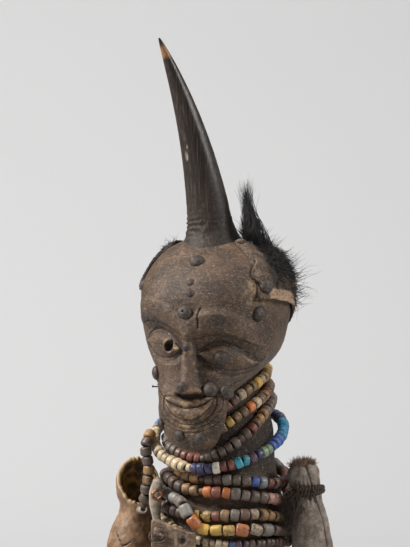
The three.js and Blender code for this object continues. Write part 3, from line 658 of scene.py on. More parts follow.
@dataclass(frozen=True)
class OldWood:
    """Carved wood with a dark handled patina, paler where it is worn and black in the cuts; on the head,
    painted light and shade too.
    """

    name: str
    deep: Colour = (0.025, 0.0155, 0.0105)
    middle: Colour = (0.105, 0.061, 0.035)
    worn: Colour = (0.285, 0.178, 0.098)
    dirt: Colour = (0.013, 0.009, 0.007)
    wear: float = 1.0
    roughness: float = 0.44
    grain_mm: float = 1.1

    def build(self) -> bpy.types.Material:
        """Makes the material.

        Returns:
            The material.
        """
        graph = Graph(self.name)
        clouds = graph.noise(16, 5, Roughness=0.6).step(0.33, 0.68)
        grain = graph.noise(self.grain_mm, 4, (1.0, 1.0, 0.09), Roughness=0.62)
        specks = graph.noise(0.55, 2).step(0.56, 0.72)
        patches = graph.noise(6, 4, Roughness=0.65).step(0.42, 0.66)
        # On the head, the wear layer also carries painted light and the dirt layer painted shade.
        edges = (graph.layer("wear") * self.wear * (0.35 + patches * 0.9)).step(0.12, 0.95)
        cuts = graph.layer("dirt").step(0.05, 0.75)
        colour = graph.mix(clouds * 0.75 + grain * 0.25, self.deep, self.middle)
        colour = graph.mix(grain.step(0.52, 0.78) * 0.5, colour, self.deep)
        colour = graph.mix(edges, colour, self.worn)
        colour = graph.mix(specks * edges * 0.5, colour, self.middle)
        colour = graph.mix(cuts, colour, self.dirt)
        dust = graph.noise(3.2, 5, Roughness=0.7).step(0.52, 0.8)
        colour = graph.mix(dust * 0.22, colour, (0.2, 0.15, 0.105))
        flecks = graph.noise(1.8, 4, (0.8, 0.8, 1.7), Roughness=0.74, Distortion=1.4)
        colour = graph.mix(flecks.step(0.53, 0.66) * 0.62, colour, (0.29, 0.21, 0.145))
        colour = graph.mix(flecks.step(0.5, 0.37) * 0.72, colour, self.deep)
        gloss = self.roughness + grain * 0.14 + dust * 0.16 + cuts * 0.2 - clouds * 0.06
        lumps = graph.noise(2.6, 3, Roughness=0.5)
        relief = graph.bump(lumps * 0.38 + grain * 0.24 + flecks * 0.38, 1.15)
        return graph.finish(colour, gloss, relief, 0.3)


@dataclass(frozen=True)
class AntelopeHorn:
    """Dark satin horn with long fibres, warm and rough at its foot, amber just under its tip."""

    name: str
    dark: Colour = (0.017, 0.0125, 0.0105)
    streak: Colour = (0.074, 0.052, 0.038)
    foot: Colour = (0.092, 0.058, 0.036)
    amber: Colour = (0.24, 0.12, 0.05)
    roughness: float = 0.3

    def build(self) -> bpy.types.Material:
        """Makes the material.

        Returns:
            The material.
        """
        graph = Graph(self.name)
        along = graph.layer("along")
        fibres = graph.noise(1.5, 4, (1.0, 1.0, 0.045), Roughness=0.65)
        mottle = graph.noise(9, 4, (1.0, 1.0, 0.5), Roughness=0.6)
        colour = graph.mix(fibres.step(0.45, 0.75) * 0.8, self.dark, self.streak)
        low = (1.0 - (along + (mottle - 0.5) * 0.35).step(0.05, 0.42)) * 0.85
        flecks = graph.noise(1.6, 4, Roughness=0.72)
        colour = graph.mix(low * flecks.step(0.5, 0.64), colour, self.foot)
        colour = graph.mix(low * (1.0 - mottle.step(0.42, 0.58)) * 0.9, colour, self.dark)
        band = (along + (mottle - 0.5) * 0.1).step(0.885, 0.925) * (1.0 - along.step(0.945, 0.975))
        colour = graph.mix(band * 0.8, colour, self.amber)
        chips = graph.layer("dirt")
        colour = graph.mix(chips * 0.75, colour, (0.25, 0.21, 0.165))
        gloss = self.roughness + low * 0.3 + fibres * 0.12 + chips * 0.3
        relief = graph.bump(fibres * 0.5 + graph.noise(0.5, 2, (1.0, 1.0, 0.3)) * 0.2 + low * flecks, 0.32)
        return graph.finish(colour, gloss, relief, 0.26)


@dataclass(frozen=True)
class Hair:
    """Animal hair or plant fibre whose strands carry their own colours."""

    name: str
    roughness: float = 0.5

    def build(self) -> bpy.types.Material:
        """Makes the material.

        Returns:
            The material.
        """
        graph = Graph(self.name)
        shade = graph.noise(4, 3, Roughness=0.6).step(0.25, 0.8)
        colour = graph.tint("tint") * (0.7 + shade * 0.6)
        gloss = self.roughness + shade * 0.15
        relief = graph.bump(graph.noise(0.4, 2), 0.05)
        return graph.finish(colour, gloss, relief, 0.35)


@dataclass(frozen=True)
class PlantFibre:
    """Twisted plant fibre, brown and dusty."""

    name: str
    dark: Colour = (0.045, 0.03, 0.022)
    pale: Colour = (0.16, 0.115, 0.08)

    def build(self) -> bpy.types.Material:
        """Makes the material.

        Returns:
            The material.
        """
        graph = Graph(self.name)
        threads = graph.noise(0.5, 4, Roughness=0.7)
        patches = graph.noise(5, 3, Roughness=0.6)
        colour = graph.mix(threads.step(0.35, 0.7), self.dark, self.pale) * (0.6 + patches * 0.8)
        relief = graph.bump(threads, 0.3)
        return graph.finish(colour, 0.75 + threads * 0.15, relief, 0.25)


@dataclass(frozen=True)
class RawHide:
    """Stiff hide: dark where the hair grows, tan and scraped along its bare edges."""

    name: str
    dark: Colour = (0.018, 0.014, 0.012)
    tan: Colour = (0.33, 0.225, 0.145)

    def build(self) -> bpy.types.Material:
        """Makes the material.

        Returns:
            The material.
        """
        graph = Graph(self.name)
        patches = graph.noise(5, 5, Roughness=0.7)
        bare = (graph.layer("wear") + (patches - 0.5) * 0.4).step(0.55, 0.8)
        fine = graph.noise(1.2, 4, Roughness=0.7)
        aged = graph.mix(fine.step(0.4, 0.62), (0.03, 0.021, 0.016), (0.15, 0.104, 0.074))
        pale = graph.mix(fine.step(0.42, 0.62), self.tan, (0.13, 0.08, 0.05))
        dried = graph.layer("wear").step(0.08, 0.36)
        colour = graph.mix(dried, graph.mix(patches.step(0.4, 0.8), self.dark, (0.05, 0.035, 0.026)), aged)
        colour = graph.mix(bare, colour, pale)
        relief = graph.bump(patches * 0.6 + graph.noise(0.6, 3) * 0.4, 0.5)
        gloss = 0.78 - bare * 0.18 + patches * 0.1
        return graph.finish(colour, gloss, relief, 0.3)


@dataclass(frozen=True)
class OldMetal:
    """Worn metal with a dark skin, rubbed bright on its high spots."""

    name: str
    skin: Colour = (0.032, 0.024, 0.0205)
    bright: Colour = (0.078, 0.06, 0.05)
    rust: Colour = (0.07, 0.038, 0.024)
    metallic: float = 0.2
    roughness: float = 0.46

    def build(self) -> bpy.types.Material:
        """Makes the material.

        Returns:
            The material.
        """
        graph = Graph(self.name)
        wear = graph.noise(2.2, 5, Roughness=0.65).step(0.4, 0.68)
        rust = graph.noise(1.3, 4, Roughness=0.7).step(0.53, 0.72)
        colour = graph.mix(rust * 0.75, graph.mix(wear, self.skin, self.bright), self.rust)
        gloss = self.roughness + rust * 0.3 + (1.0 - wear) * 0.14
        relief = graph.bump(graph.noise(1.6, 4) * 0.6 + graph.noise(0.4, 2) * 0.4, 0.3)
        metal = self.metallic * (1.0 - rust * 0.6)
        return graph.finish(colour, gloss, relief, 0.35, metal)


@dataclass(frozen=True)
class TradeGlass:
    """Opaque old beads, each with its own colour, worn and dusty."""

    name: str
    roughness: float = 0.42
    dust: Colour = (0.20, 0.155, 0.115)

    def build(self) -> bpy.types.Material:
        """Makes the material.

        Returns:
            The material.
        """
        graph = Graph(self.name)
        wear = graph.noise(2.4, 5, Roughness=0.65)
        pits = graph.cells(0.9).step(0.0, 0.28)
        grime = (graph.layer("dirt") + (wear - 0.5) * 0.7).step(0.25, 0.8)
        colour = graph.tint("tint") * (0.72 + wear * 0.5)
        colour = graph.mix(wear.step(0.5, 0.74) * 0.36, colour, self.dust)
        stains = (graph.noise(2.3, 4, Roughness=0.72) + graph.layer("dirt") * 0.5).step(0.53, 0.72)
        colour = graph.mix(stains * 0.82, colour, (0.062, 0.042, 0.031))
        colour = graph.mix((1.0 - pits) * 0.45, colour, (0.05, 0.035, 0.025))
        colour = graph.mix(grime * 0.85, colour, (0.026, 0.018, 0.014))
        gloss = self.roughness + wear.step(0.4, 0.75) * 0.3 + grime * 0.25
        relief = graph.bump(wear * 0.6 + pits * 0.4, 0.16)
        return graph.finish(colour, gloss, relief, 0.5)


@dataclass(frozen=True)
class Calabash:
    """Dry gourd shell: tan and scuffed outside, dark and ochre inside, with painted shade deep in."""

    name: str
    tan: Colour = (0.255, 0.15, 0.078)
    brown: Colour = (0.12, 0.066, 0.036)
    ochre: Colour = (0.30, 0.17, 0.045)

    def build(self) -> bpy.types.Material:
        """Makes the material.

        Returns:
            The material.
        """
        graph = Graph(self.name)
        mottle = graph.noise(8, 5, Roughness=0.65)
        specks = graph.noise(0.8, 3, Roughness=0.7).step(0.55, 0.72)
        streaks = graph.noise(1.6, 3, (1.0, 1.0, 0.16), Roughness=0.6)
        colour = graph.mix(mottle.step(0.36, 0.66), self.brown, self.tan)
        colour = graph.mix(streaks.step(0.5, 0.75) * 0.45, colour, self.brown)
        colour = graph.mix(specks * 0.6, colour, (0.06, 0.036, 0.022))
        colour = graph.mix(graph.layer("wear") * 0.8, colour, (0.42, 0.3, 0.18))
        lining = graph.mix(mottle.step(0.4, 0.58), (0.045, 0.028, 0.016), self.ochre)
        colour = graph.mix(graph.layer("inside"), colour, lining)
        # The dirt layer darkens the cracks and paints shade deep inside the shell.
        colour = graph.mix(graph.layer("dirt"), colour, (0.018, 0.012, 0.009))
        gloss = 0.46 + mottle * 0.2 + graph.layer("inside") * 0.3
        relief = graph.bump(mottle * 0.5 + streaks * 0.3 + specks * 0.2, 0.4)
        return graph.finish(colour, gloss, relief, 0.4)


@dataclass(frozen=True)
class OldLeather:
    """Dusty grey-brown leather, creased, with painted shade in its folds."""

    name: str
    pale: Colour = (0.25, 0.205, 0.17)
    brown: Colour = (0.125, 0.095, 0.074)

    def build(self) -> bpy.types.Material:
        """Makes the material.

        Returns:
            The material.
        """
        graph = Graph(self.name)
        mottle = graph.noise(7, 5, Roughness=0.65)
        creases = graph.cells(3.4, "DISTANCE_TO_EDGE").step(0.0, 0.1)
        colour = graph.mix(mottle.step(0.35, 0.65), self.brown, self.pale)
        colour = graph.mix((1.0 - creases) * 0.35, colour, (0.05, 0.036, 0.028))
        # The dirt layer is painted shade: under the cord, under the lapped edge and in the pleats.
        colour = graph.mix(graph.layer("dirt").step(0.1, 0.9) * 0.9, colour, (0.028, 0.02, 0.016))
        colour = graph.mix(graph.layer("wear").step(0.2, 1.0) * 0.6, colour, (0.27, 0.215, 0.17))
        relief = graph.bump(creases * 0.3 + mottle * 0.7, 0.35)
        gloss = 0.5 + mottle * 0.22
        return graph.finish(colour, gloss, relief, 0.35)


@dataclass(frozen=True)
class OldBone:
    """Handled bone: grey-cream with brown stains and pale rubbed edges."""

    name: str
    cream: Colour = (0.23, 0.185, 0.14)
    stain: Colour = (0.095, 0.07, 0.052)

    def build(self) -> bpy.types.Material:
        """Makes the material.

        Returns:
            The material.
        """
        graph = Graph(self.name)
        stains = graph.noise(4, 5, Roughness=0.65)
        fine = graph.noise(0.8, 4, (1.0, 1.0, 0.2), Roughness=0.65)
        colour = graph.mix(stains.step(0.42, 0.7), self.cream, self.stain)
        colour = graph.mix(graph.layer("wear").step(0.1, 0.9) * 0.7, colour, (0.5, 0.44, 0.36))
        colour = graph.mix(fine.step(0.58, 0.75) * 0.6, colour, (0.06, 0.043, 0.031))
        relief = graph.bump(fine * 0.6 + stains * 0.4, 0.2)
        return graph.finish(colour, 0.42 + stains * 0.2, relief)


@dataclass(frozen=True)
class Studio:
    """The plain pale paper of the floor and backdrop."""

    name: str
    colour: Colour = (0.425, 0.425, 0.433)

    def build(self) -> bpy.types.Material:
        """Makes the material.

        Returns:
            The material.
        """
        graph = Graph(self.name)
        grain = graph.noise(60, 3)
        colour = graph.mix(grain * 0.06, self.colour, (0.38, 0.38, 0.38))
        relief = graph.bump(graph.noise(1.5, 2), 0.02)
        return graph.finish(colour, 0.9 + grain * 0.05, relief)


# The wooden figure


@dataclass(frozen=True)
class Oval:
    """An oval area of the face, in shares of the head's height: its middle and its half sizes."""

    out: float
    up: float
    half_length: float
    half_height: float

    def inside(self, out: Array, up: Array) -> Array:
        """1 in the middle, 0 on the rim and less outside."""
        return 1 - ((out - self.out) / self.half_length) ** 2 - ((up - self.up) / self.half_height) ** 2


HEAD_ROWS = (
    (0.000, 0.033, 0.387, 0.033, 0.040),
    (0.013, 0.067, 0.400, 0.060, 0.067),
    (0.040, 0.103, 0.420, 0.060, 0.087),
    (0.080, 0.130, 0.440, 0.050, 0.107),
    (0.127, 0.149, 0.447, 0.050, 0.120),
    (0.173, 0.162, 0.453, 0.047, 0.133),
    (0.240, 0.165, 0.440, 0.050, 0.147),
    (0.280, 0.179, 0.407, 0.077, 0.160),
    (0.320, 0.201, 0.327, 0.153, 0.200),
    (0.373, 0.229, 0.227, 0.253, 0.280),
    (0.427, 0.266, 0.173, 0.313, 0.360),
    (0.493, 0.301, 0.147, 0.350, 0.387),
    (0.593, 0.325, 0.133, 0.373, 0.395),
    (0.700, 0.339, 0.113, 0.393, 0.380),
    (0.773, 0.337, 0.113, 0.367, 0.360),
    (0.830, 0.313, 0.113, 0.327, 0.327),
    (0.891, 0.273, 0.120, 0.257, 0.280),
    (0.947, 0.207, 0.133, 0.180, 0.213),
    (0.987, 0.110, 0.153, 0.097, 0.113),
    (1.000, 0.040, 0.160, 0.035, 0.040),
)
TRUNK_ROWS = (
    (0.000, 0.272, 0.255, 0.255),
    (0.187, 0.280, 0.270, 0.262),
    (0.333, 0.280, 0.268, 0.255),
    (0.413, 0.266, 0.252, 0.245),
    (0.487, 0.247, 0.238, 0.235),
    (0.553, 0.234, 0.230, 0.227),
    (0.627, 0.224, 0.224, 0.224),
    (0.760, 0.216, 0.222, 0.218),
    (0.860, 0.186, 0.215, 0.200),
    (0.950, 0.164, 0.210, 0.190),
    (1.067, 0.152, 0.200, 0.180),
    (1.147, 0.140, 0.160, 0.150),
)


@dataclass(frozen=True)
class FaceCarving:
    """The carving of the face as heights over the plain head, in shares of the head's height."""

    slope: float = 0.2
    eye: Oval = Oval(0.150, 0.464, 0.106, 0.056)
    eye_rise: float = 0.036
    socket: Oval = Oval(0.155, 0.475, 0.150, 0.105)
    socket_depth: float = 0.036
    brow_foot: float = 0.52
    brow_top: float = 0.63
    brow_arch: float = 0.06
    brow_span: float = 0.33
    brow_rise: float = 0.028
    nose_bridge: float = 0.51
    nose_tip: float = 0.282
    nose_base: float = 0.262
    nose_rise: float = 0.09
    bridge_rise: float = 0.022
    bridge_width: float = 0.030
    nose_width: float = 0.050
    wing_width: float = 0.076
    mouth_up: float = 0.203
    mouth_curl: float = 3.2
    mouth_half: float = 0.118
    upper_lip: float = 0.046
    lower_lip: float = 0.052
    lip_rise: float = 0.027
    hole_at: tuple[float, float] = (-0.106, 0.49)
    cut_depths: tuple[float, ...] = (0.0065, 0.003, 0.006, 0.018, 0.0055, 0.003, 0.05, 0.022)

    def _arch(self, out: Array) -> Array:
        """How far the brow's edges rise over its ends."""
        return self.brow_arch * np.sin(np.pi * np.minimum(out / self.brow_span, 1))

    def nose(self, across: Array, up: Array) -> Array:
        """A long ridge that widens to its wings.

        Args:
            across: How far across, as a share of the head's height.
            up: The height above the chin, as a share of the head's height.

        Returns:
            The height over the plain head, in the same shares.
        """
        drop = np.clip((self.nose_bridge - up) / (self.nose_bridge - self.nose_tip), 0, 1)
        width = self.bridge_width + (self.nose_width - self.bridge_width) * drop
        width = width + (self.wing_width - self.nose_width) * drop**6
        ridge = np.clip(1 - (across / width) ** 2, 0, 1) ** 0.62
        rise = self.bridge_rise + (self.nose_rise - self.bridge_rise) * drop
        foot = ease(self.nose_base - 0.004, self.nose_tip, up)
        return rise * ridge * foot * (1 - ease(self.nose_bridge, self.brow_top, up))

    def eyes(self, out: Array, up: Array) -> Array:
        """Raised almonds.

        Args:
            out: The distance from the middle line, as a share of the head's height.
            up: The height above the chin, as a share of the head's height.

        Returns:
            The height over the plain head, in the same shares.
        """
        length = (out - self.eye.out) / self.eye.half_length
        lid = np.maximum(self.eye.half_height * np.clip(1 - length**2, 0, 1), 1e-6)
        return self.eye_rise * np.clip(1 - ((up - self.eye.up) / lid) ** 2, 0, 1) ** 0.7

    def brows(self, out: Array, up: Array) -> Array:
        """Raised crescent bands.

        Args:
            out: The distance from the middle line, as a share of the head's height.
            up: The height above the chin, as a share of the head's height.

        Returns:
            The height over the plain head, in the same shares.
        """
        foot, top = self.brow_foot + self._arch(out), self.brow_top + self._arch(out)
        band = ease(-0.012, 0.012, up - foot) * (1 - ease(-0.024, 0.008, up - top))
        swell = 0.8 + 0.2 * np.sin(np.pi * np.clip((up - foot) / (top - foot), 0, 1))
        return self.brow_rise * band * swell * (1 - ease(0.8 * self.brow_span, self.brow_span, out))

    def sockets(self, out: Array, up: Array) -> Array:
        """The hollows that the eyes lie in."""
        below = 1 - ease(-0.024, 0.004, up - self.brow_foot - self._arch(out))
        return -self.socket_depth * ease(0, 0.8, self.socket.inside(out, up)) * below

    def mouth(self, across: Array, up: Array) -> Array:
        """Two full lips, parted by a line that curls up at its ends."""
        share = self.lip_share(across, up)
        return self.lip_rise * np.sqrt(np.clip(4 * share * (1 - share), 0, 1))

    def lip_share(self, across: Array, up: Array) -> Array:
        """How far over a lip: 0 on the line between the lips, 1 on its outer edge and more beyond.

        Args:
            across: How far across, as a share of the head's height.
            up: The height above the chin, as a share of the head's height.

        Returns:
            The share.
        """
        above = up - self.mouth_up - self.mouth_curl * across**2
        thickness = np.where(above > 0, self.upper_lip, self.lower_lip)
        corner = np.sqrt(np.clip(1 - (across / self.mouth_half) ** 2, 1e-4, 1))
        return np.abs(above) / (thickness * corner)

    def form(self, across: Array, up: Array) -> Array:
        """The whole carving as it shows from a step away.

        Args:
            across: How far across, as a share of the head's height.
            up: The height above the chin, as a share of the head's height.

        Returns:
            The height over the plain head, in the same shares.
        """
        out, level = np.abs(across), up + self.slope * across
        relief = self.nose(across, up) + self.mouth(across, up)
        return relief + self.brows(out, level) + self.sockets(out, level) + self.eyes(out, level)

    def hole(self, across: Array, up: Array) -> Array:
        """The hole drilled in the far eye, 1 in its middle."""
        side = across - self.hole_at[0]
        return bell(0, 1, np.hypot(side / 0.026, (up - self.hole_at[1] - 0.25 * side) / 0.028))

    def cuts(self, across: Array, up: Array) -> Array:
        """Fine cuts: lids, eye slits, brow crease, nostrils, mouth lines, scratches, drilled eye, split.

        Args:
            across: How far across, as a share of the head's height.
            up: The height above the chin, as a share of the head's height.

        Returns:
            The cuts as heights, zero or less, in the same shares.
        """
        out, level = np.abs(across), up + self.slope * across
        length = (out - self.eye.out) / (1.12 * self.eye.half_length)
        lid = np.maximum(1.34 * self.eye.half_height * np.clip(1 - length**2, 0, 1), 1e-4)
        lids = bell(1.0, 0.15, np.abs(level - self.eye.up) / lid) * (np.abs(length) < 1)
        slit = bell(0, 0.006, level - self.eye.up + 0.10 * (out - self.eye.out)) * (np.abs(length) < 0.74)
        crease = bell(0, 0.010, level - self.brow_foot - self._arch(out) + 0.012)
        crease = crease * ease(0.03, 0.07, out) * (1 - ease(0.24, 0.29, out))
        nostrils = bell(0, 1, np.hypot((out - 0.043) / 0.017, (up - 0.268) / 0.012))
        ring = np.hypot(across / 0.128, (up - 0.232) / 0.105)
        arcs = bell(1.0, 0.05, ring) + 0.8 * bell(1.2, 0.045, ring) + 0.6 * bell(1.38, 0.04, ring)
        arcs = arcs * (up < 0.262) * ease(0.96, 1.2, self.lip_share(across, up))
        far = across + 0.4 * (up - 0.48)
        scratches = bell(0, 0.3, np.sin(np.pi * (up + 0.9 * across) / 0.012)) * (np.abs(far + 0.098) < 0.022)
        scratches = scratches * (np.abs(up - 0.25) < 0.03)
        wander = 0.004 * np.sin(38 * up) + 0.002 * np.sin(95 * up + 1)
        split = bell(0, 0.0012 + 0.0026 * bell(0.62, 0.05, up), across - 0.058 - wander)
        split = np.sqrt(split) * ease(0.56, 0.58, up) * (1 - ease(0.66, 0.7, up))
        drilled = np.sqrt(self.hole(across, up))
        shapes = (lids, slit, crease, nostrils, arcs, scratches, drilled, split)
        return -np.max([depth * shape for depth, shape in zip(self.cut_depths, shapes)], axis=0)


@dataclass(frozen=True)
class Bust:
    """The head, neck and chest, carved from one block."""

    carving: FaceCarving = FaceCarving()
    head_fullness: float = 1.08
    trunk_fullness: float = 1.15
    head_rows: int = 292
    head_columns: int = 272
    trunk_rows: int = 84
    trunk_columns: int = 132
    rim_shares: tuple[float, ...] = (0.207, 0.242)
    # Far brow: polished stain; forehead middle and under the near brow: painted shade; near cheek: darker.
    stain_and_painted_shade_areas: tuple[tuple[Oval, float], ...] = (
        (Oval(-0.21, 0.62, 0.15, 0.065), 0.42),
        (Oval(0.12, 0.75, 0.13, 0.09), 0.45),
        (Oval(0.17, 0.61, 0.13, 0.05), 0.32),
        (Oval(0.17, 0.33, 0.10, 0.07), 0.35),
    )
    # Near side of the forehead: painted light. Muzzle: paler.
    painted_light_and_pale_areas: tuple[tuple[Oval, float], ...] = (
        (Oval(0.28, 0.74, 0.08, 0.10), 0.60),
        (Oval(0.01, 0.16, 0.13, 0.14), 0.60),
    )

    def head_point(self, angle: Array, up: Array, fine: bool = False) -> Array:
        """Points on the head in millimetres.

        Args:
            angle: The turn from the front, in radians.
            up: The height above the chin, as a share of the head's height.
            fine: Whether the fine cuts are in.

        Returns:
            The points, with their coordinates last.
        """
        half_width, forward, front, back = read_profile(HEAD_ROWS, up)
        across, ahead = section_point(angle, half_width, front, back, self.head_fullness)
        relief = self.carving.form(across, up)
        if fine:
            relief = relief + self.carving.cuts(across, up)
        relief = relief * ease(0, 0.25, np.cos(angle))
        return np.stack([across, -(forward + ahead + relief), up + CHIN / HEAD], -1) * HEAD

    def trunk_point(self, angle: Array, up: Array) -> Array:
        """Points on the neck and chest in millimetres.

        Args:
            angle: The turn from the front, in radians.
            up: The height above the underside, as a share of the head's height.

        Returns:
            The points, with their coordinates last.
        """
        half_width, front, back = read_profile(TRUNK_ROWS, up)
        across, ahead = section_point(angle, half_width, front, back, self.trunk_fullness)
        return np.stack([across, -ahead, up], -1) * HEAD

    @staticmethod
    def _blur(heights: Array, rounds: int) -> Array:
        """The heights of a grid of rings, smoothed.

        Args:
            heights: The heights, by ring and then by side.
            rounds: How often they are smoothed.

        Returns:
            The smooth heights.
        """
        for _ in range(rounds):
            padded = np.pad(heights, ((1, 1), (0, 0)), mode="edge")
            beside = np.roll(heights, 1, axis=1) + np.roll(heights, -1, axis=1)
            heights = (padded[:-2] + padded[2:] + beside + 2 * heights) / 6
        return heights

    @staticmethod
    def _areas(areas: Sequence[tuple[Oval, float]], across: Array, up: Array, angle: Array) -> Array:
        """The strength of soft areas on the front of the head."""
        shares = [strength * ease(0, 1, oval.inside(across, up)) for oval, strength in areas]
        return sum(shares) * (np.cos(angle) > 0)

    def _head(self, form: Form) -> None:
        """Adds the head, with tool marks, cracks, worn edges, and painted light and shade.

        Args:
            form: The mesh that it joins.
        """
        turn = 2 * np.arange(self.head_columns) / self.head_columns - 1
        angle, up = np.meshgrid(np.pi * (0.55 * turn + 0.45 * turn**3), np.linspace(0, 1, self.head_rows))
        points = self.head_point(angle, up, fine=True)
        middle = np.stack([np.zeros_like(up), -HEAD * read_profile(HEAD_ROWS, up)[1], points[..., 2]], -1)
        outward = unit(points - middle)
        marks = 0.34 * rough(points, (5.0, 5.0, 9.0), 2) + 0.12 * rough(points, (1.6, 1.6, 3.6), 2, 7.0)
        cracks = np.zeros_like(up)
        for place, low, high in ((2.2, 0.30, 0.74), (-2.6, 0.45, 0.9)):
            wander = 0.02 * np.sin(31 * up + place) + 0.012 * np.sin(83 * up)
            ends = ease(low, low + 0.06, up) * (1 - ease(high - 0.06, high, up))
            cracks = np.maximum(cracks, bell(0, 0.034, angle - place - wander) * ends)
        points = points + outward * (marks - 0.8 * cracks)[..., None]
        across = points[..., 0] / HEAD
        cuts = HEAD * self.carving.cuts(across, up) * (np.cos(angle) > 0.1)
        carved = HEAD * self.carving.form(across, up) * ease(0, 0.25, np.cos(angle))
        points[..., 1] += 0.8 * np.clip(carved - self._blur(carved, 8), -1.0, 1.0)
        carved = carved + cuts - 2.4 * cracks
        near, wide = self._blur(carved, 10), self._blur(carved, 90)
        height = (carved - near) * 1.5 + (near - wide) * 0.3
        wear = np.clip(height / 2.0, 0, 1) + 0.25 * np.clip(marks / 0.5, 0, 1)
        # Painted shade in the drilled eye hole: no wear there, and darkened through the dirt layer.
        hole = self._blur(self.carving.hole(across, up), 8) * (np.cos(angle) > 0)
        wear = wear * (1 - np.minimum(4 * hole, 1))
        # Dirt layer: patina in the cuts, the brow stain, painted shade on forehead and under brow, darker
        # cheek.
        dirt = np.clip(-height / 2.2, 0, 1) + self._areas(self.stain_and_painted_shade_areas, across, up, angle)
        dirt = dirt + np.minimum(1.6 * hole, 1)
        # The wear layer also takes painted light on the near forehead and the paler muzzle.
        wear = wear + self._areas(self.painted_light_and_pale_areas, across, up, angle)
        form.grid(points, wear=np.clip(wear, 0, 1), dirt=np.clip(dirt, 0, 1))

    def _trunk(self, form: Form) -> None:
        """Adds the neck and chest, with a worn rim low on the chest, and grime and painted shade on the neck.

        Args:
            form: The mesh that it joins.
        """
        levels = np.linspace(0, TRUNK_ROWS[-1][0], self.trunk_rows)
        angle, up = np.meshgrid(turns(self.trunk_columns) - np.pi, levels)
        points = self.trunk_point(angle, up)
        outward = np.stack([np.sin(angle), -np.cos(angle), np.zeros_like(angle)], -1)
        marks = 0.42 * rough(points, (6.0, 6.0, 11.0), 2, 3.0) + 0.14 * rough(points, (1.8, 1.8, 4.0), 2, 5.0)
        band = sum(bell(share, 0.012, up) for share in self.rim_shares)
        points = points + outward * (marks - 0.9 * band)[..., None]
        wear = np.clip(0.3 * marks + 0.35 * bell(0.22, 0.02, up), 0, 1)
        # Grime and painted shade under the head and among the strands darken the neck.
        grime = 0.74 * ease(0.42, 0.62, up)
        form.grid(points, wear=wear * (1 - grime), dirt=np.clip(0.9 * band + grime, 0, 1))

    def build(self) -> None:
        """Makes the carved figure."""
        form = Form()
        self._head(form)
        self._trunk(form)
        form.piece("carved_figure", OldWood("old_wood").build(), "wood", "figure_bust")


@dataclass(frozen=True)
class Horn:
    """The antelope horn in the crown."""

    base: tuple[float, float, float] = (0.0, -0.17 * HEAD, CROWN - 9.0)
    lean: float = 28.0
    reach: float = 32.0
    length: float = 146.0
    radius: float = 17.3
    tip_radius: float = 0.5
    taper: float = 0.78
    flare: float = 7.0
    flare_end: float = 0.13
    ring_count: float = 42.0
    ring_depth: float = 0.55
    steps: int = 230
    sides: int = 72
    chips: tuple[tuple[float, float, float], ...] = ((0.445, -2.0, 1.15), (0.49, -1.85, 0.5))

    def path(self, count: int) -> Array:
        """Points along the middle of the horn, from its foot.

        Args:
            count: How many points are wanted.

        Returns:
            The points.
        """
        foot = np.array(self.base)
        bend = foot + (-0.14 * self.lean, -0.24 * self.reach, 0.51 * self.length)
        tip = foot + (-self.lean, -self.reach, self.length)
        return spread(bow(foot, bend, tip, np.linspace(0, 1, 300)[:, None]), count)

    def build(self) -> None:
        """Makes the horn, ringed and ridged low down and smooth above."""
        path = self.path(self.steps)
        _, first, second = path_frames(path)
        share, turn = np.meshgrid(np.linspace(0, 1, self.steps), turns(self.sides), indexing="ij")
        radius = self.tip_radius + (self.radius - self.tip_radius) * (1 - share) ** self.taper
        radius = radius + self.flare * (1 - np.minimum(share / self.flare_end, 1)) ** 2
        low = (1 - ease(0.10, 0.26, share)) * ease(0.03, 0.09, share)
        rays = spokes(first, second, turn)
        points = path[:, None] + rays * radius[..., None]
        wobble = 0.6 * np.sin(2 * turn + 3) + 0.4 * np.sin(3 * turn + 20 * share)
        wobble = wobble + 1.4 * rough(points, 14.0, 2, 5.0)
        far_side = ease(0.2, -0.7, rays[..., 0])
        rings = np.sin(2 * np.pi * (share * self.ring_count + 0.3 * wobble)) * (0.15 + 0.85 * far_side)
        rings = rings * (0.65 + 0.35 * np.sin(61 * share))
        ridges = np.sin(11 * turn + 5 * share) * 0.06 + np.sin(23 * turn - 9 * share) * 0.03
        radius = radius + self.ring_depth * low * rings + ridges * (1 - share)
        radius = radius + (0.16 + 0.5 * low) * rough(points, (4.0, 4.0, 9.0), 3, 11.0) * (1 - share)
        chip = np.zeros_like(share)
        for place, way, size in self.chips:
            off = np.angle(np.exp(1j * (turn - way))) * radius / 1.6
            chip = np.maximum(chip, bell(0, size, np.hypot((share - place) / 0.026, off)))
        points = path[:, None] + rays * (radius - 0.9 * chip)[..., None]
        form = Form()
        form.grid(points, along=share, dirt=np.clip(1.5 * chip, 0, 1))
        form.piece("antelope_horn", AntelopeHorn("antelope_horn").build(), "horn", "crown_horn")


# Hide and fur


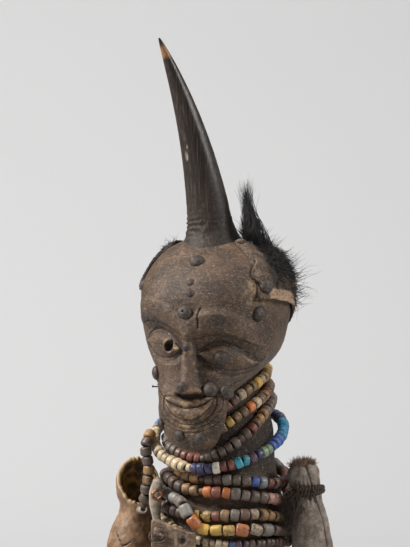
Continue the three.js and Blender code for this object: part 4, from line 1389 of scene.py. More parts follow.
@dataclass(frozen=True)
class Hide:
    """The stiff hide over the back of the head, its fur, and the lock that stands up beside the horn."""

    bust: Bust
    near_edge: float = math.radians(54)
    far_edge: float = math.radians(292)
    top: float = 0.965
    side_foot: float = 0.705
    nape_foot: float = 0.5
    far_lift: float = 0.045
    thickness: float = 1.6
    fur_depth: float = 3.5
    tuft_height: float = 46.0
    tuft_radius: float = 7.0
    hairs: int = 7000
    longest: int = 45
    tuft_hairs: int = 1050
    seed: int = 11

    def level(self, across: Array, up: Array) -> Array:
        """The height above the chin, as a share of the head's height.

        Args:
            across: The share of the way from the near edge to the far edge.
            up: The share of the way from the lower edge to the top.

        Returns:
            The height.
        """
        share = np.clip(across, 0, 1)
        drop = (self.side_foot - self.nape_foot) * np.sin(np.pi * share) ** 3.5
        foot = self.side_foot - drop + self.far_lift * share**4
        return foot + (self.top - foot) * up

    def fur(self, across: Array, up: Array) -> Array:
        """The depth of the fur in millimetres.

        Args:
            across: The share of the way from the near edge to the far edge.
            up: The share of the way from the lower edge to the top.

        Returns:
            The depth.
        """
        around = ease(0.02, 0.16, across) * (1 - 0.85 * ease(0.45, 0.8, across))
        top_edge = 0.35 * (1 - ease(0.75, 0.98, across))
        upward = 0.2 + 0.8 * ease(0.74, 0.95, self.level(across, up))
        return self.fur_depth * around * upward * np.maximum(1 - up**6, top_edge)

    def point(self, across: Array, up: Array, lift: Array | float) -> Array:
        """Points over the hide's area.

        Args:
            across: The share of the way from the near edge round the back to the far edge.
            up: The share of the way from the lower edge to the top.
            lift: How far off the skull, in millimetres.

        Returns:
            The points, with their coordinates last.
        """
        spot, outward, _, _ = self.directions(across, up)
        return spot + outward * np.asarray(lift)[..., None]

    def directions(self, across: Array, up: Array) -> tuple[Array, Array, Array, Array]:
        """The point on the skull with the ways outward, backward round the head and upward.

        Args:
            across: The share of the way from the near edge to the far edge.
            up: The share of the way from the lower edge to the top.

        Returns:
            The four, each with its coordinates last.
        """
        angle = self.near_edge + (self.far_edge - self.near_edge) * across
        level = self.level(across, up)
        nudge = 0.01
        spot = self.bust.head_point(angle, level)
        around = self.bust.head_point(angle + nudge, level) - spot
        upward = self.bust.head_point(angle, level + nudge) - spot
        return spot, unit(np.cross(around, upward)), unit(around), unit(upward)

    def _skin(self) -> None:
        """Makes the skin, bare and tan along its near edge and scraped at its lower corner."""
        columns, rows = 180, 60
        across, up = np.meshgrid(np.linspace(0, 1, columns), np.linspace(0, 1, rows), indexing="ij")
        wave = 0.010 * np.sin(40 * across) + 0.006 * np.sin(97 * across + 2)
        edge = across + 0.016 * np.sin(11 * up) * (1 - ease(0, 0.1, across)) - 0.01 * ease(0.9, 1, across)
        lifted = up + wave * (1 - up) ** 4
        strip = bell(0.045, 0.06, edge) * ease(0.1, 0.3, up) * (0.7 + 0.5 * np.sin(34 * up + 30 * across))
        rim = bell(0.012, 0.022, edge) * ease(0.12, 0.2, up)
        outer_lift = CLEARANCE + self.thickness + 0.42 * self.fur(across, up) + 1.1 * strip
        outer_lift = outer_lift + 0.9 * rim * (0.8 + 0.4 * np.sin(23 * up))
        outer = self.point(edge, lifted, outer_lift)
        curl = 2.6 * (1 - ease(0, 0.12, up)) * (1 - ease(0.1, 0.3, across))
        lift = 0.5 * rough(outer, 4.0, 3, 4.0) + curl
        outer = outer + lift[..., None] * self.directions(edge, lifted)[1]
        inner = self.point(edge, lifted, CLEARANCE + 0.75 * curl)
        corner = ease(0.015, 0.05, across) * (1 - ease(0.16, 0.26, across)) * (1 - ease(0.14, 0.24, up))
        bare = np.maximum(corner, 0.42 * (1 - ease(0.03, 0.09, across)) + 0.16 * rim)
        form = Form()
        form.grid(np.hstack([inner, outer[:, ::-1]]), wear=np.hstack([bare, bare[:, ::-1]]))
        knob = self.point(np.array(0.004), np.array(0.97), 2.4)
        lump, turn, tilt = ball(24, 14, 1.45)
        lump = knob + lump * (3.6, 2.4, 2.0) * (1 + 0.08 * np.sin(3 * turn + 2 * tilt))[..., None]
        form.grid(lump, wear=0.5)
        form.piece("scalp_hide", RawHide("raw_hide").build(), "fur_hide", "fur_scalp_hide")

    def _coat(self) -> None:
        """Makes the fur, dense over the crown and thin and wispy along the edges."""
        rng = np.random.default_rng(self.seed)
        count = self.hairs
        across = rng.uniform(0.07, 1, count)
        crowded = rng.uniform(size=count) < 0.5
        across[crowded] = rng.uniform(0.07, 0.42, crowded.sum())
        up = rng.uniform(0, 1, count) ** 0.8
        keep = ~((across < 0.24) & (up < 0.2) & (rng.uniform(size=count) < 0.93))
        keep &= ~((across < 0.11) & (rng.uniform(size=count) < 0.6))
        across, up = across[keep], up[keep]
        count = len(across)
        spot, outward, around, upward = self.directions(across, up)
        fur = self.fur(across, up)
        root = spot + outward * (CLEARANCE + self.thickness + 0.38 * fur)[:, None]
        high = ease(0.45, 0.85, up)
        long_hair = (1 - ease(0.3, 0.55, across)) * ease(0.25, 0.6, up)
        sparse = 1 - 0.75 * ease(0.72, 0.88, across) * (1 - 0.6 * high)
        length = (3.0 + 0.8 * fur + 4.0 * long_hair) * sparse * rng.uniform(0.5, 1.3, count)
        flow = around * np.where(across < 0.55, 1.0, -0.6)[:, None]
        stray = rng.normal(size=(count, 3))
        clump = np.stack([rough(root, 7.0, 1, shift) for shift in (1.0, 33.0, 71.0)], -1)
        stand = outward * (0.16 + 0.4 * high * sparse)[:, None]
        early = unit(stand + flow * 0.8 - upward * 0.45 + (0.2 * stray + 0.7 * clump) * sparse[:, None])
        loose = (0.3 * stray[:, ::-1] + 0.7 * clump) * sparse[:, None]
        late = unit(0.15 * stand + flow * 0.8 - upward * 0.95 + loose)
        share = np.linspace(0, 1, 5)[None, :, None]
        bend = early[:, None] * share + (late - early)[:, None] * share**2 * 0.6
        paths = root[:, None] + bend * length[:, None, None]
        tint = np.array([0.012, 0.0108, 0.0112]) * rng.uniform(0.45, 2.0, (count, 1))
        brown = rng.uniform(size=count) < 0.08
        tint[brown] = np.array([0.055, 0.036, 0.025]) * rng.uniform(0.7, 1.3, (brown.sum(), 1))
        warm = rng.uniform(size=count) < 0.8 * bell(0.16, 0.11, across) * bell(0.3, 0.2, up)
        tint[warm] = np.array([0.12, 0.078, 0.048]) * rng.uniform(0.4, 1.3, (warm.sum(), 1))
        form = Form()
        form.strands(paths, 0.24, tint)
        form.piece("fur_coat", Hair("dark_fur").build(), "fur_hide")

    def _wisps(self) -> None:
        """Makes the long loose hairs that stand off the edges."""
        rng = np.random.default_rng(self.seed + 1)
        spans = (
            (420, 0.06, 0.32, 0.55, 0.98),
            (170, 0.16, 0.34, 0.12, 0.6),
            (70, 0.9, 1.0, 0.8, 0.98),
            (self.longest, 0.21, 0.33, 0.15, 0.55),
        )
        rows = [
            (rng.uniform(low, high), rng.uniform(foot, head))
            for number, low, high, foot, head in spans
            for _ in range(number)
        ]
        across, up = np.array(rows).T
        spot, outward, around, upward = self.directions(across, up)
        root = spot + outward * (CLEARANCE + self.thickness + 0.4 * self.fur(across, up))[:, None]
        count = len(across)
        length = (3.0 + 8.0 * rng.uniform(size=count) ** 1.7) * np.where(across > 0.9, 0.55, 1.0)
        length[-self.longest :] = rng.uniform(9, 17, self.longest)
        stray = rng.normal(size=(count, 3))
        flow = around * np.where(across < 0.5, 0.5, -0.2)[:, None]
        early = unit(0.7 * outward + flow + 0.4 * stray + 0.1 * upward)
        late = unit(0.1 * outward + 0.8 * stray[:, ::-1] - 0.5 * upward)
        share = np.linspace(0, 1, 8)[None, :, None]
        bend = early[:, None] * share + late[:, None] * share**2 * 0.7
        paths = root[:, None] + bend * length[:, None, None]
        phase = 5.5 * share + rng.uniform(0, 2 * np.pi, (count, 1, 1))
        coil = around[:, None] * np.sin(phase) + upward[:, None] * np.cos(phase)
        curl = rng.uniform(0.3, 1.5, (count, 1, 1))
        curl[-self.longest :] *= 1.8
        paths = paths + coil * share * curl
        form = Form()
        form.strands(paths, 0.15, np.array([0.02, 0.016, 0.014]) * rng.uniform(0.5, 1.8, (count, 1)))
        form.piece("fur_wisps", Hair("loose_fur").build(), "fur_hide")

    def _tuft(self) -> None:
        """Makes the lock of hair that stands up beside the horn."""
        rng = np.random.default_rng(self.seed + 2)
        root = self.point(np.array(0.064), np.array(0.93), 1.0)
        bend = root + (-0.6 * self.tuft_radius, 0.3 * self.tuft_radius, 0.55 * self.tuft_height)
        tip = root + (-0.5 * self.tuft_radius, 0.3 * self.tuft_radius, self.tuft_height)
        share = np.linspace(0, 1, 8)
        middle = bow(root, bend, tip, share[:, None])
        count = self.tuft_hairs
        turn = rng.uniform(0, 2 * np.pi, count)
        out = np.sqrt(rng.uniform(0, 1, count))
        reach = 0.22 + 0.78 * rng.uniform(0, 1, count) ** 2.2
        places = reach[:, None] * share[None]
        core = np.stack([np.interp(places, share, middle[:, axis]) for axis in range(3)], -1)
        width = self.tuft_radius * (0.15 + out[:, None]) * (1 - places) ** 1.35 + 0.15
        swirl = turn[:, None] + 0.7 * places + 0.4 * np.sin(9 * places + turn[:, None])
        paths = core + np.stack([1.25 * width * np.cos(swirl), width * np.sin(swirl), 0 * width], -1)
        loose = rng.normal(size=(count, 1, 3)) * np.array([1.5, 1.1, 0.5])
        paths = paths + loose * (share**2 * (0.4 + 1.3 * reach[:, None] ** 2))[..., None]
        curl = np.sin(7 * share[None] + 3 * turn[:, None]) * share**2
        paths = paths + curl[..., None] * np.array([0.9, 0.6, 0.3])
        wild = rng.uniform(size=count) < 0.12
        paths[wild] += rng.normal(size=(wild.sum(), 1, 3)) * (3.0 * share**2)[None, :, None]
        fan = rng.uniform(0, 1, count) ** 1.5
        foot = self.point(0.045 + 0.15 * fan, 0.97 - 0.2 * fan, 1.2 + 1.2 * rng.uniform(size=count))
        paths = paths + (foot - paths[:, 0])[:, None] * ((1 - share) ** 1.8)[None, :, None]
        tint = np.array([0.015, 0.0135, 0.014]) * rng.uniform(0.45, 1.9, (count, 1))
        form = Form()
        form.strands(paths, 0.2, tint)
        thickness = 0.36 * self.tuft_radius * (1 - np.linspace(0, 1, 12)) + 0.1
        form.tube(spread(middle[:4], 12), thickness, 12, tint=(0.008, 0.007, 0.007))
        form.piece("fur_lock", Hair("lock_of_fur").build(), "fur_hide")

    def build(self) -> None:
        """Makes the hide and all of its hair."""
        self._skin()
        self._coat()
        self._wisps()
        self._tuft()


# Tacks


@dataclass(frozen=True)
class Tacks:
    """The domed iron tacks and the bent nail."""

    names: str = (
        "crown forehead_upper forehead_lower brow_middle temple far_temple nose_bridge eye nose_tip "
        "cheek_inner cheek_outer far_cheek far_jaw chin_far chin_near hide_edge"
    )
    pierced: tuple[str, ...] = ("brow_middle", "nose_tip")
    dome_share: float = 0.6
    skirt: float = 1.5
    nail_length: float = 4.0
    nail_radius: float = 0.5
    rings: int = 14
    sides: int = 36

    def _dome(self, name: str, number: int, metal: bpy.types.Material) -> None:
        """Makes one tack with a hammered dome and an uneven rim.

        Args:
            name: The tack's name.
            number: Its number, which varies its shape.
            metal: Its material.
        """
        seat = Seat.of_node(f"tack_{name}")
        out, turn = np.meshgrid(np.linspace(0.04, 1, self.rings), turns(self.sides), indexing="ij")
        rim = 1 + 0.018 * np.sin(3 * turn + number) + 0.012 * np.sin(5 * turn + 2.3 * number)
        height = self.dome_share * (1 - out**2.2) ** 0.66
        height = height + 0.012 * np.sin(2 * turn + 5 * out + number) * (1 - out)
        height = height - 0.03 * bell(0.5, 0.35, out) * np.cos(turn + number)
        if name in self.pierced:
            height = height - 0.3 * bell(0, 0.2, out)
        across = (seat.radius * rim * out)[..., None] * spokes(*square_to(seat.facing), turn)
        dome = seat.foot + across + seat.facing * (seat.radius * height)[..., None]
        foot = seat.foot + across[-1:] - seat.facing * self.skirt
        form = Form()
        form.grid(np.concatenate([foot, dome[::-1]]))
        form.piece(f"iron_tack_{name}", metal, "iron", f"tack_{name}")

    def build(self) -> None:
        """Makes all tacks and the nail."""
        metal = OldMetal("tack_iron").build()
        for number, name in enumerate(self.names.split()):
            self._dome(name, number, metal)
        corners, _ = node_mesh("cheek_nail")
        middle = corners.mean(0)
        way = np.linalg.svd(corners - middle)[2][0]
        way = way * -np.sign(way[0])
        share = np.linspace(-1, 0.5, 12)[:, None]
        path = middle + way * share * self.nail_length + (0, 0, 0.5) * np.maximum(share + 0.2, 0) ** 2
        radius = np.full(12, self.nail_radius)
        radius[-2:] = 1.7 * self.nail_radius
        form = Form()
        form.tube(path, radius, 12)
        form.piece("bent_nail", metal, "iron", "cheek_nail")


# Beads


class Tint(Enum):
    """Bead colours."""

    CREAM = (0.46, 0.36, 0.23)
    WHITE = (0.56, 0.52, 0.44)
    YELLOW = (0.50, 0.31, 0.055)
    OCHRE = (0.33, 0.17, 0.042)
    ORANGE = (0.46, 0.13, 0.028)
    RED = (0.28, 0.03, 0.02)
    RUST = (0.15, 0.042, 0.024)
    BROWN = (0.068, 0.038, 0.027)
    PURPLE = (0.062, 0.032, 0.05)
    PINK = (0.33, 0.17, 0.13)
    NAVY = (0.018, 0.024, 0.09)
    BLUE = (0.03, 0.10, 0.33)
    TEAL = (0.015, 0.20, 0.36)
    TURQUOISE = (0.03, 0.26, 0.33)
    PALE_GREEN = (0.20, 0.28, 0.165)
    GREEN = (0.07, 0.14, 0.055)
    GREY = (0.18, 0.17, 0.15)
    BLUE_GREY = (0.12, 0.145, 0.165)
    GREY_BROWN = (0.12, 0.094, 0.074)


class Cut(Enum):
    """Bead shapes as (length over radius, how square the profile is)."""

    BARREL = (1.6, 6.0)
    TUBE = (2.2, 8.0)
    RING = (1.3, 6.0)


@dataclass(frozen=True)
class StrandPlan:
    """One string of beads: its CAD node, its slot and how its beads look.

    The stops are places across the picture, each with the colour of the beads nearest to it. The back
    has the colours of the beads that don't show in front.
    """

    node: str
    slot: str
    cut: Cut
    stops: str
    back: str
    radius: float = 4.3
    closed: bool = True
    soiled: float = 0.6

    def front_colour(self, shown: float) -> Colour:
        """The colour of a bead in front by its place across the picture."""
        stops = [stop.split() for stop in self.stops.split(", ")]
        return Tint[min(stops, key=lambda stop: abs(int(stop[0]) - shown))[1]].value

    def back_colour(self, rng: np.random.Generator) -> Colour:
        """One of the colours of the beads at the back."""
        names = self.back.split()
        return Tint[names[int(rng.integers(len(names)))]].value


STRANDS = (
    StrandPlan(
        "strand_yellow_upper",
        "yellow_beads",
        Cut.BARREL,
        "160 YELLOW, 228 RUST, 233 RED, 240 CREAM, 247 OCHRE, 252 YELLOW, 258 CREAM, 265 YELLOW",
        "YELLOW OCHRE CREAM",
    ),
    StrandPlan(
        "strand_yellow_lower",
        "yellow_beads",
        Cut.BARREL,
        "157 YELLOW, 222 OCHRE, 229 YELLOW, 237 OCHRE, 245 ORANGE, 252 CREAM, 258 OCHRE, 266 RUST",
        "OCHRE YELLOW RUST",
    ),
    StrandPlan(
        "strand_grey_disc",
        "grey_beads",
        Cut.RING,
        "165 GREY_BROWN, 190 RUST, 205 BROWN, 215 GREY_BROWN, 224 BROWN, 233 GREY_BROWN, 242 BROWN, "
        "252 RUST, 259 OCHRE, 266 GREY_BROWN",
        "GREY_BROWN GREY",
    ),
    StrandPlan(
        "strand_cream_and_blue",
        "cream_beads",
        Cut.RING,
        "175 CREAM, 200 NAVY, 213 WHITE, 226 RUST, 238 TURQUOISE, 249 PURPLE, 257 NAVY, "
        "265 PALE_GREEN, 273 BLUE, 281 TEAL, 289 NAVY",
        "NAVY BLUE TEAL GREY",
        soiled=0.14,
    ),
    StrandPlan(
        "strand_grey_brown",
        "grey_beads",
        Cut.BARREL,
        "160 RUST, 182 OCHRE, 205 BROWN, 225 GREY, 237 GREY_BROWN, 248 BLUE, 258 BLUE_GREY, 270 RUST",
        "GREY_BROWN RUST BLUE_GREY",
    ),
    StrandPlan(
        "strand_orange_and_brown",
        "brown_beads",
        Cut.BARREL,
        "160 BROWN, 196 OCHRE, 205 ORANGE, 213 RUST, 221 ORANGE, 230 GREY, 238 GREY_BROWN, "
        "246 BROWN, 258 GREY_BROWN, 270 PINK",
        "BROWN RUST GREY",
    ),
    StrandPlan(
        "strand_ochre_and_red",
        "brown_beads",
        Cut.BARREL,
        "160 BROWN, 202 YELLOW, 211 RED, 220 OCHRE, 232 GREY, 242 RUST, 252 CREAM, 263 OCHRE, "
        "271 OCHRE, 279 GREEN",
        "OCHRE RUST BROWN",
    ),
    StrandPlan(
        "strand_grey_and_yellow",
        "grey_beads",
        Cut.TUBE,
        "182 GREY, 191 ORANGE, 202 YELLOW, 216 YELLOW, 231 ORANGE, 243 CREAM, 256 GREY, 270 BROWN",
        "GREY GREY_BROWN OCHRE",
    ),
    StrandPlan(
        "strand_cream_disc",
        "cream_beads",
        Cut.RING,
        "221 CREAM, 229 BLUE, 240 PURPLE, 252 BROWN",
        "CREAM GREY",
        radius=3.6,
        soiled=0.3,
    ),
    StrandPlan(
        "gourd_bead_string",
        "brown_beads",
        Cut.BARREL,
        "147 BROWN, 150 OCHRE, 152 GREY_BROWN, 154 RUST, 157 BROWN, 159 BLUE_GREY, 161 RUST",
        "GREY RUST BROWN",
        closed=False,
    ),
)


@dataclass(frozen=True)
class Beads:
    """All strings of beads round the neck and at the gourd."""

    groove: float = 0.76
    hole: float = 0.24
    gap: float = 0.03
    cord_radius: float = 0.85
    sides: int = 18
    middle_px: float = 225.0
    mm_per_px: float = 0.7
    behind: float = -6.0
    soil: Colour = (0.115, 0.083, 0.062)
    seed: int = 5

    def _bead(
        self,
        form: Form,
        spot: tuple[Array, Array],
        radius: float,
        cut: Cut,
        look: tuple[Array, float],
        rng: np.random.Generator,
    ) -> None:
        """Adds one pierced bead, a little uneven and askew.

        Args:
            form: The mesh that it joins.
            spot: Its middle and the way of the string there.
            radius: Its radius.
            cut: Its shape.
            look: Its colour and how soiled it is.
            rng: Where its unevenness comes from.
        """
        (middle, way), (tint, soil) = spot, look
        half, squareness = 0.5 * cut.value[0] * radius, cut.value[1]
        way = unit(way + 0.13 * rng.normal(size=3))
        place = np.linspace(-1, 1, 9)
        swell = 1 - 0.24 * np.abs(place) ** squareness
        shoulder = 0.82 * swell[0]
        profile_out = np.array([self.hole, shoulder, *swell, shoulder, self.hole])
        profile_along = np.array([-0.93, -1.0, *(0.97 * place), 1.0, 0.93])
        turn = turns(self.sides) + rng.uniform(0, 6)
        uneven = 1 + 0.04 * np.sin(2 * turn + rng.uniform(0, 6)) + 0.025 * np.sin(3 * turn)
        out = radius * profile_out[:, None] * uneven
        along = half * profile_along[:, None, None]
        points = middle + way * along + out[..., None] * spokes(*square_to(way), turn)
        # Darker towards the hole and the ends of the bead, where the beads meet.
        dirt = 1 - (1 - 0.5 * soil) * ease(0.3, 0.86, profile_out)
        form.grid(points, tint=tint, dirt=dirt[:, None])

    def _colour(self, plan: StrandPlan, middle: Array, rng: np.random.Generator) -> Colour:
        """The colour of a bead by where it shows across the picture.

        Args:
            plan: The string's plan.
            middle: The bead's middle.
            rng: Where the choice comes from.

        Returns:
            The colour.
        """
        across, toward = as_shown(middle)
        if toward < self.behind:
            return plan.back_colour(rng)
        return plan.front_colour(self.middle_px + across / self.mm_per_px)

    def _string(self, plan: StrandPlan, rng: np.random.Generator) -> None:
        """Makes one string of beads with the cord that holds it.

        Args:
            plan: The string's plan.
            rng: Where the beads' unevenness comes from.
        """
        line = node_centreline(plan.node, plan.radius, self.groove, plan.closed)
        if plan.closed:
            line = np.vstack([line, line[:1]])
        path = spread(line, 600)
        lengths = np.concatenate([[0], np.cumsum(np.linalg.norm(np.diff(path, axis=0), axis=1))])
        heading = unit(np.gradient(path, axis=0))
        total = lengths[-1]
        form = Form()
        place = 0.0
        while place < total - 1.2:
            index = int(np.clip(np.searchsorted(lengths, place), 0, len(path) - 1))
            colour = self._colour(plan, path[index], rng)
            radius = plan.radius * rng.uniform(0.84, 1.0)
            length = plan.cut.value[0] * radius
            if place + length > total:
                length = total - place
                radius = length / plan.cut.value[0]
            index = int(np.clip(np.searchsorted(lengths, place + length / 2), 0, len(path) - 1))
            soil = rng.uniform(0.0, plan.soiled)
            tint = (np.array(colour) * (1 - soil) + np.array(self.soil) * soil) * rng.uniform(0.8, 1.2)
            self._bead(form, (path[index], heading[index]), radius, plan.cut, (tint, soil), rng)
            place += length * (1 + self.gap)
        cord = spread(line, 160)[:-1] if plan.closed else spread(line, 60)
        form.tube(cord, self.cord_radius, 6, closed=plan.closed, tint=(0.02, 0.014, 0.011), dirt=1.0)
        name = plan.node.replace("strand_", "beads_")
        form.piece(name, TradeGlass(f"glass_{plan.node}").build(), plan.slot, plan.node)

    def build(self) -> None:
        """Makes every string."""
        rng = np.random.default_rng(self.seed)
        for plan in STRANDS:
            self._string(plan, rng)


# What hangs at the sides


def outward_ways(rings: Array) -> Array:
    """The outward direction at each point of a closed grid of rings.

    Args:
        rings: The points, by ring and then by side.

    Returns:
        One direction for each point.
    """
    along = np.gradient(rings, axis=0)
    around = np.roll(rings, -1, axis=1) - np.roll(rings, 1, axis=1)
    return unit(np.cross(around, along))


def lean_over(points: Array, degrees: float, foot: Colour) -> Array:
    """The points, leaned to the side (+X where positive) about the origin and then moved to a foot.

    Args:
        points: The points, with their coordinates last.
        degrees: How far they lean.
        foot: Where the origin goes.

    Returns:
        The moved points.
    """
    turn = math.radians(degrees)
    across = points[..., 0] * math.cos(turn) + points[..., 2] * math.sin(turn)
    up = points[..., 2] * math.cos(turn) - points[..., 0] * math.sin(turn)
    return np.stack([across, points[..., 1], up], -1) + np.array(foot)


@dataclass(frozen=True)
class Gourd:
    """The calabash: a waisted shell whose upper bulb was sliced open, and the bone peg at its waist."""

    foot: Colour = (-71.2, -2.0, 3.0)
    lean: float = 5.5
    height: float = 90.0
    lower: float = 17.5
    waist: float = 11.5
    upper: float = 15.5
    wall: float = 2.4
    cut_turn: float = math.radians(34)
    cut_lean: float = math.radians(25)
    columns: int = 150
    steps: int = 110
    peg_radius: float = 3.2
    peg_length: float = 9.0
    cracks: tuple[tuple[tuple[float, float], tuple[float, float]], ...] = (
        ((-76.5, 37.5), (-70.0, 24.0)),
        ((-70.0, 24.0), (-74.0, 12.0)),
        ((-72.0, 28.5), (-66.5, 31.0)),
    )

    def rows(self) -> list[tuple[float, float]]:
        """The outer profile: height as a share of the gourd's own, and radius.

        Returns:
            The rows, from its foot upward.
        """
        return [
            (0.0, 0.10 * self.lower),
            (0.03, 0.42 * self.lower),
            (0.10, 0.76 * self.lower),
            (0.20, 0.95 * self.lower),
            (0.30, self.lower),
            (0.42, 0.88 * self.lower),
            (0.52, 0.5 * self.waist + 0.37 * self.lower),
            (0.60, self.waist),
            (0.67, 0.4 * self.waist + 0.6 * self.upper),
            (0.78, self.upper),
            (0.88, 0.86 * self.upper),
            (0.95, 0.58 * self.upper),
            (0.99, 0.24 * self.upper),
            (1.0, 0.06 * self.upper),
        ]

    def _wall(self, share: Array, turn: Array, inset: float) -> Array:
        """Points on the shell before it leans, its outer side or that much further in.

        Args:
            share: The height as a share of the gourd's own.
            turn: The turn round it, in radians.
            inset: How far in, in millimetres.

        Returns:
            The points, with their coordinates last.
        """
        share, turn = np.broadcast_arrays(share, turn)
        radius = np.maximum(read_profile(self.rows(), share)[0] - inset, 0.05)
        height = inset + share * (self.height - 2 * inset)
        return np.stack([radius * np.cos(turn), radius * np.sin(turn), height], -1)

    def _past_cut(self, points: Array) -> Array:
        """How far points that stand before the lean are past the slice.

        Args:
            points: The points, with their coordinates last.

        Returns:
            The distance in millimetres, less than zero where the shell stays.
        """
        lean = math.radians(self.lean)
        side, ahead = math.sin(self.cut_turn), -math.cos(self.cut_turn)
        across = points[..., 0] * math.cos(lean) + (points[..., 2] - 0.6 * self.height) * math.sin(lean)
        up = (points[..., 2] - 0.6 * self.height) * math.cos(lean) - points[..., 0] * math.sin(lean)
        forward = across * side + points[..., 1] * ahead - self.waist
        return forward * math.cos(self.cut_lean) + up * math.sin(self.cut_lean)

    def _rim(self, turn: Array, inset: float) -> Array:
        """The share of the height at which the slice meets the shell in each direction.

        Args:
            turn: The directions, in radians.
            inset: How far in the side lies, in millimetres.

        Returns:
            One share for each direction.
        """
        share = np.linspace(0.4, 1, 400)
        table = self._past_cut(self._wall(share[None], turn[:, None], inset)) > 0
        found = np.where(table.any(1), table.argmax(1), len(share) - 1)
        return share[found]

    def build(self) -> None:
        """Makes the shell and the peg."""
        turn = turns(self.columns)
        jag = 0.006 * np.sin(9 * turn + 1) + 0.004 * np.sin(23 * turn)
        rim = self._blend(self._rim(turn, 0.0)) + jag
        inner_rim = self._blend(self._rim(turn, self.wall)) + jag
        steps = np.linspace(0, 1, self.steps)[:, None]
        outer = self._wall(rim * steps, turn[None], 0.0)
        inner = self._wall(inner_rim * steps[::-1], turn[None], self.wall)
        edge = 0.35 * inner[:1] + 0.65 * outer[-1:] + 0.4 * unit(outer[-1:] - outer[-3:-2])
        points = np.concatenate([outer, edge, inner])
        share = np.vstack([steps, [[1.0]], steps[::-1]])
        inside = np.repeat([0.0, 0.3, 1.0], [self.steps, 1, self.steps])[:, None]
        bulges = 1 + 0.02 * np.sin(3 * turn + 0.7) + 0.012 * np.sin(5 * turn + 2)
        points = points * np.stack([bulges, bulges, np.ones_like(bulges)], -1)
        outward = outward_ways(points)
        dents = 0.55 * rough(points, 13.0, 3, 9.0) + 0.16 * rough(points, 2.6, 3, 2.0)
        points = points + outward * dents[..., None]
        placed = lean_over(points, self.lean, self.foot)
        crack = self._cracks(placed, outward)
        depth = 1.1 * crack * (1 - inside)
        placed = placed - lean_over(outward, self.lean, (0.0, 0.0, 0.0)) * depth[..., None]
        near_rim = ease(0.965, 1.0, share)
        form = Form()
        # Dark in the cracks, and painted shade on the inner wall, darkest furthest from the rim.
        dirt = np.clip(crack + 0.6 * inside * (1 - ease(0.55, 0.95, share)), 0, 1)
        form.grid(placed, wear=near_rim, inside=inside, dirt=dirt)
        form.piece("calabash", Calabash("calabash").build(), "gourd_shell", "gourd")
        self._peg()

    @staticmethod
    def _blend(values: Array) -> Array:
        """The values of a ring, smoothed a little.

        Args:
            values: The values, all the way round.

        Returns:
            The smooth values.
        """
        for _ in range(3):
            values = (np.roll(values, 1) + np.roll(values, -1) + 2 * values) / 4
        return values

    def _cracks(self, points: Array, outward: Array) -> Array:
        """Two cracks in the lower bulb, 1 in their middle, as they show from the picture's side.

        Args:
            points: Points of the shell, where it hangs.
            outward: The outward direction at each.

        Returns:
            How deep the cracks are, from 0 to 1.
        """
        shown, facing = as_shown(points)[0], as_shown(outward)[1]
        depth = np.zeros(points.shape[:2])
        for start, end in self.cracks:
            first = np.array(start)
            way = np.array(end) - first
            spot = np.stack([shown, points[..., 2]], -1) - first
            along = np.clip((spot @ way) / (way @ way), 0, 1)
            off = np.linalg.norm(spot - along[..., None] * way, axis=-1) + 0.25 * np.sin(1.9 * points[..., 2])
            depth = np.maximum(depth, bell(0, 0.85, off) * (facing > 0.1))
        return depth

    def _peg(self) -> None:
        """Makes the bone peg, hollow at its end."""
        corners, _ = node_mesh("gourd_bone_peg")
        middle = (corners.min(0) + corners.max(0)) / 2
        facing = unit(np.array([0.6, -0.8, 0.1]))
        turn = turns(32)
        rows = [(0.0, 0.0), (0.62, 0.0), (0.9, 0.4), (0.98, 1.4), (0.92, 4.2), (0.97, 7.2), (0.93, 8.5)]
        rows += [(0.78, 9.0), (0.56, 8.9), (0.46, 8.2), (0.40, 5.5), (0.0, 5.2)]
        reach, along = np.array(rows).T
        out = self.peg_radius * reach[:, None] * (1 + 0.05 * np.sin(2 * turn + 1))
        rings = middle + facing * (along - self.peg_length / 2)[:, None, None]
        rings = rings + out[..., None] * spokes(*square_to(facing), turn)
        form = Form()
        form.grid(rings, wear=0.7 * bell(8.8, 1.2, along)[:, None])
        form.piece("bone_peg", OldBone("peg_bone").build(), "bone", "gourd_bone_peg")


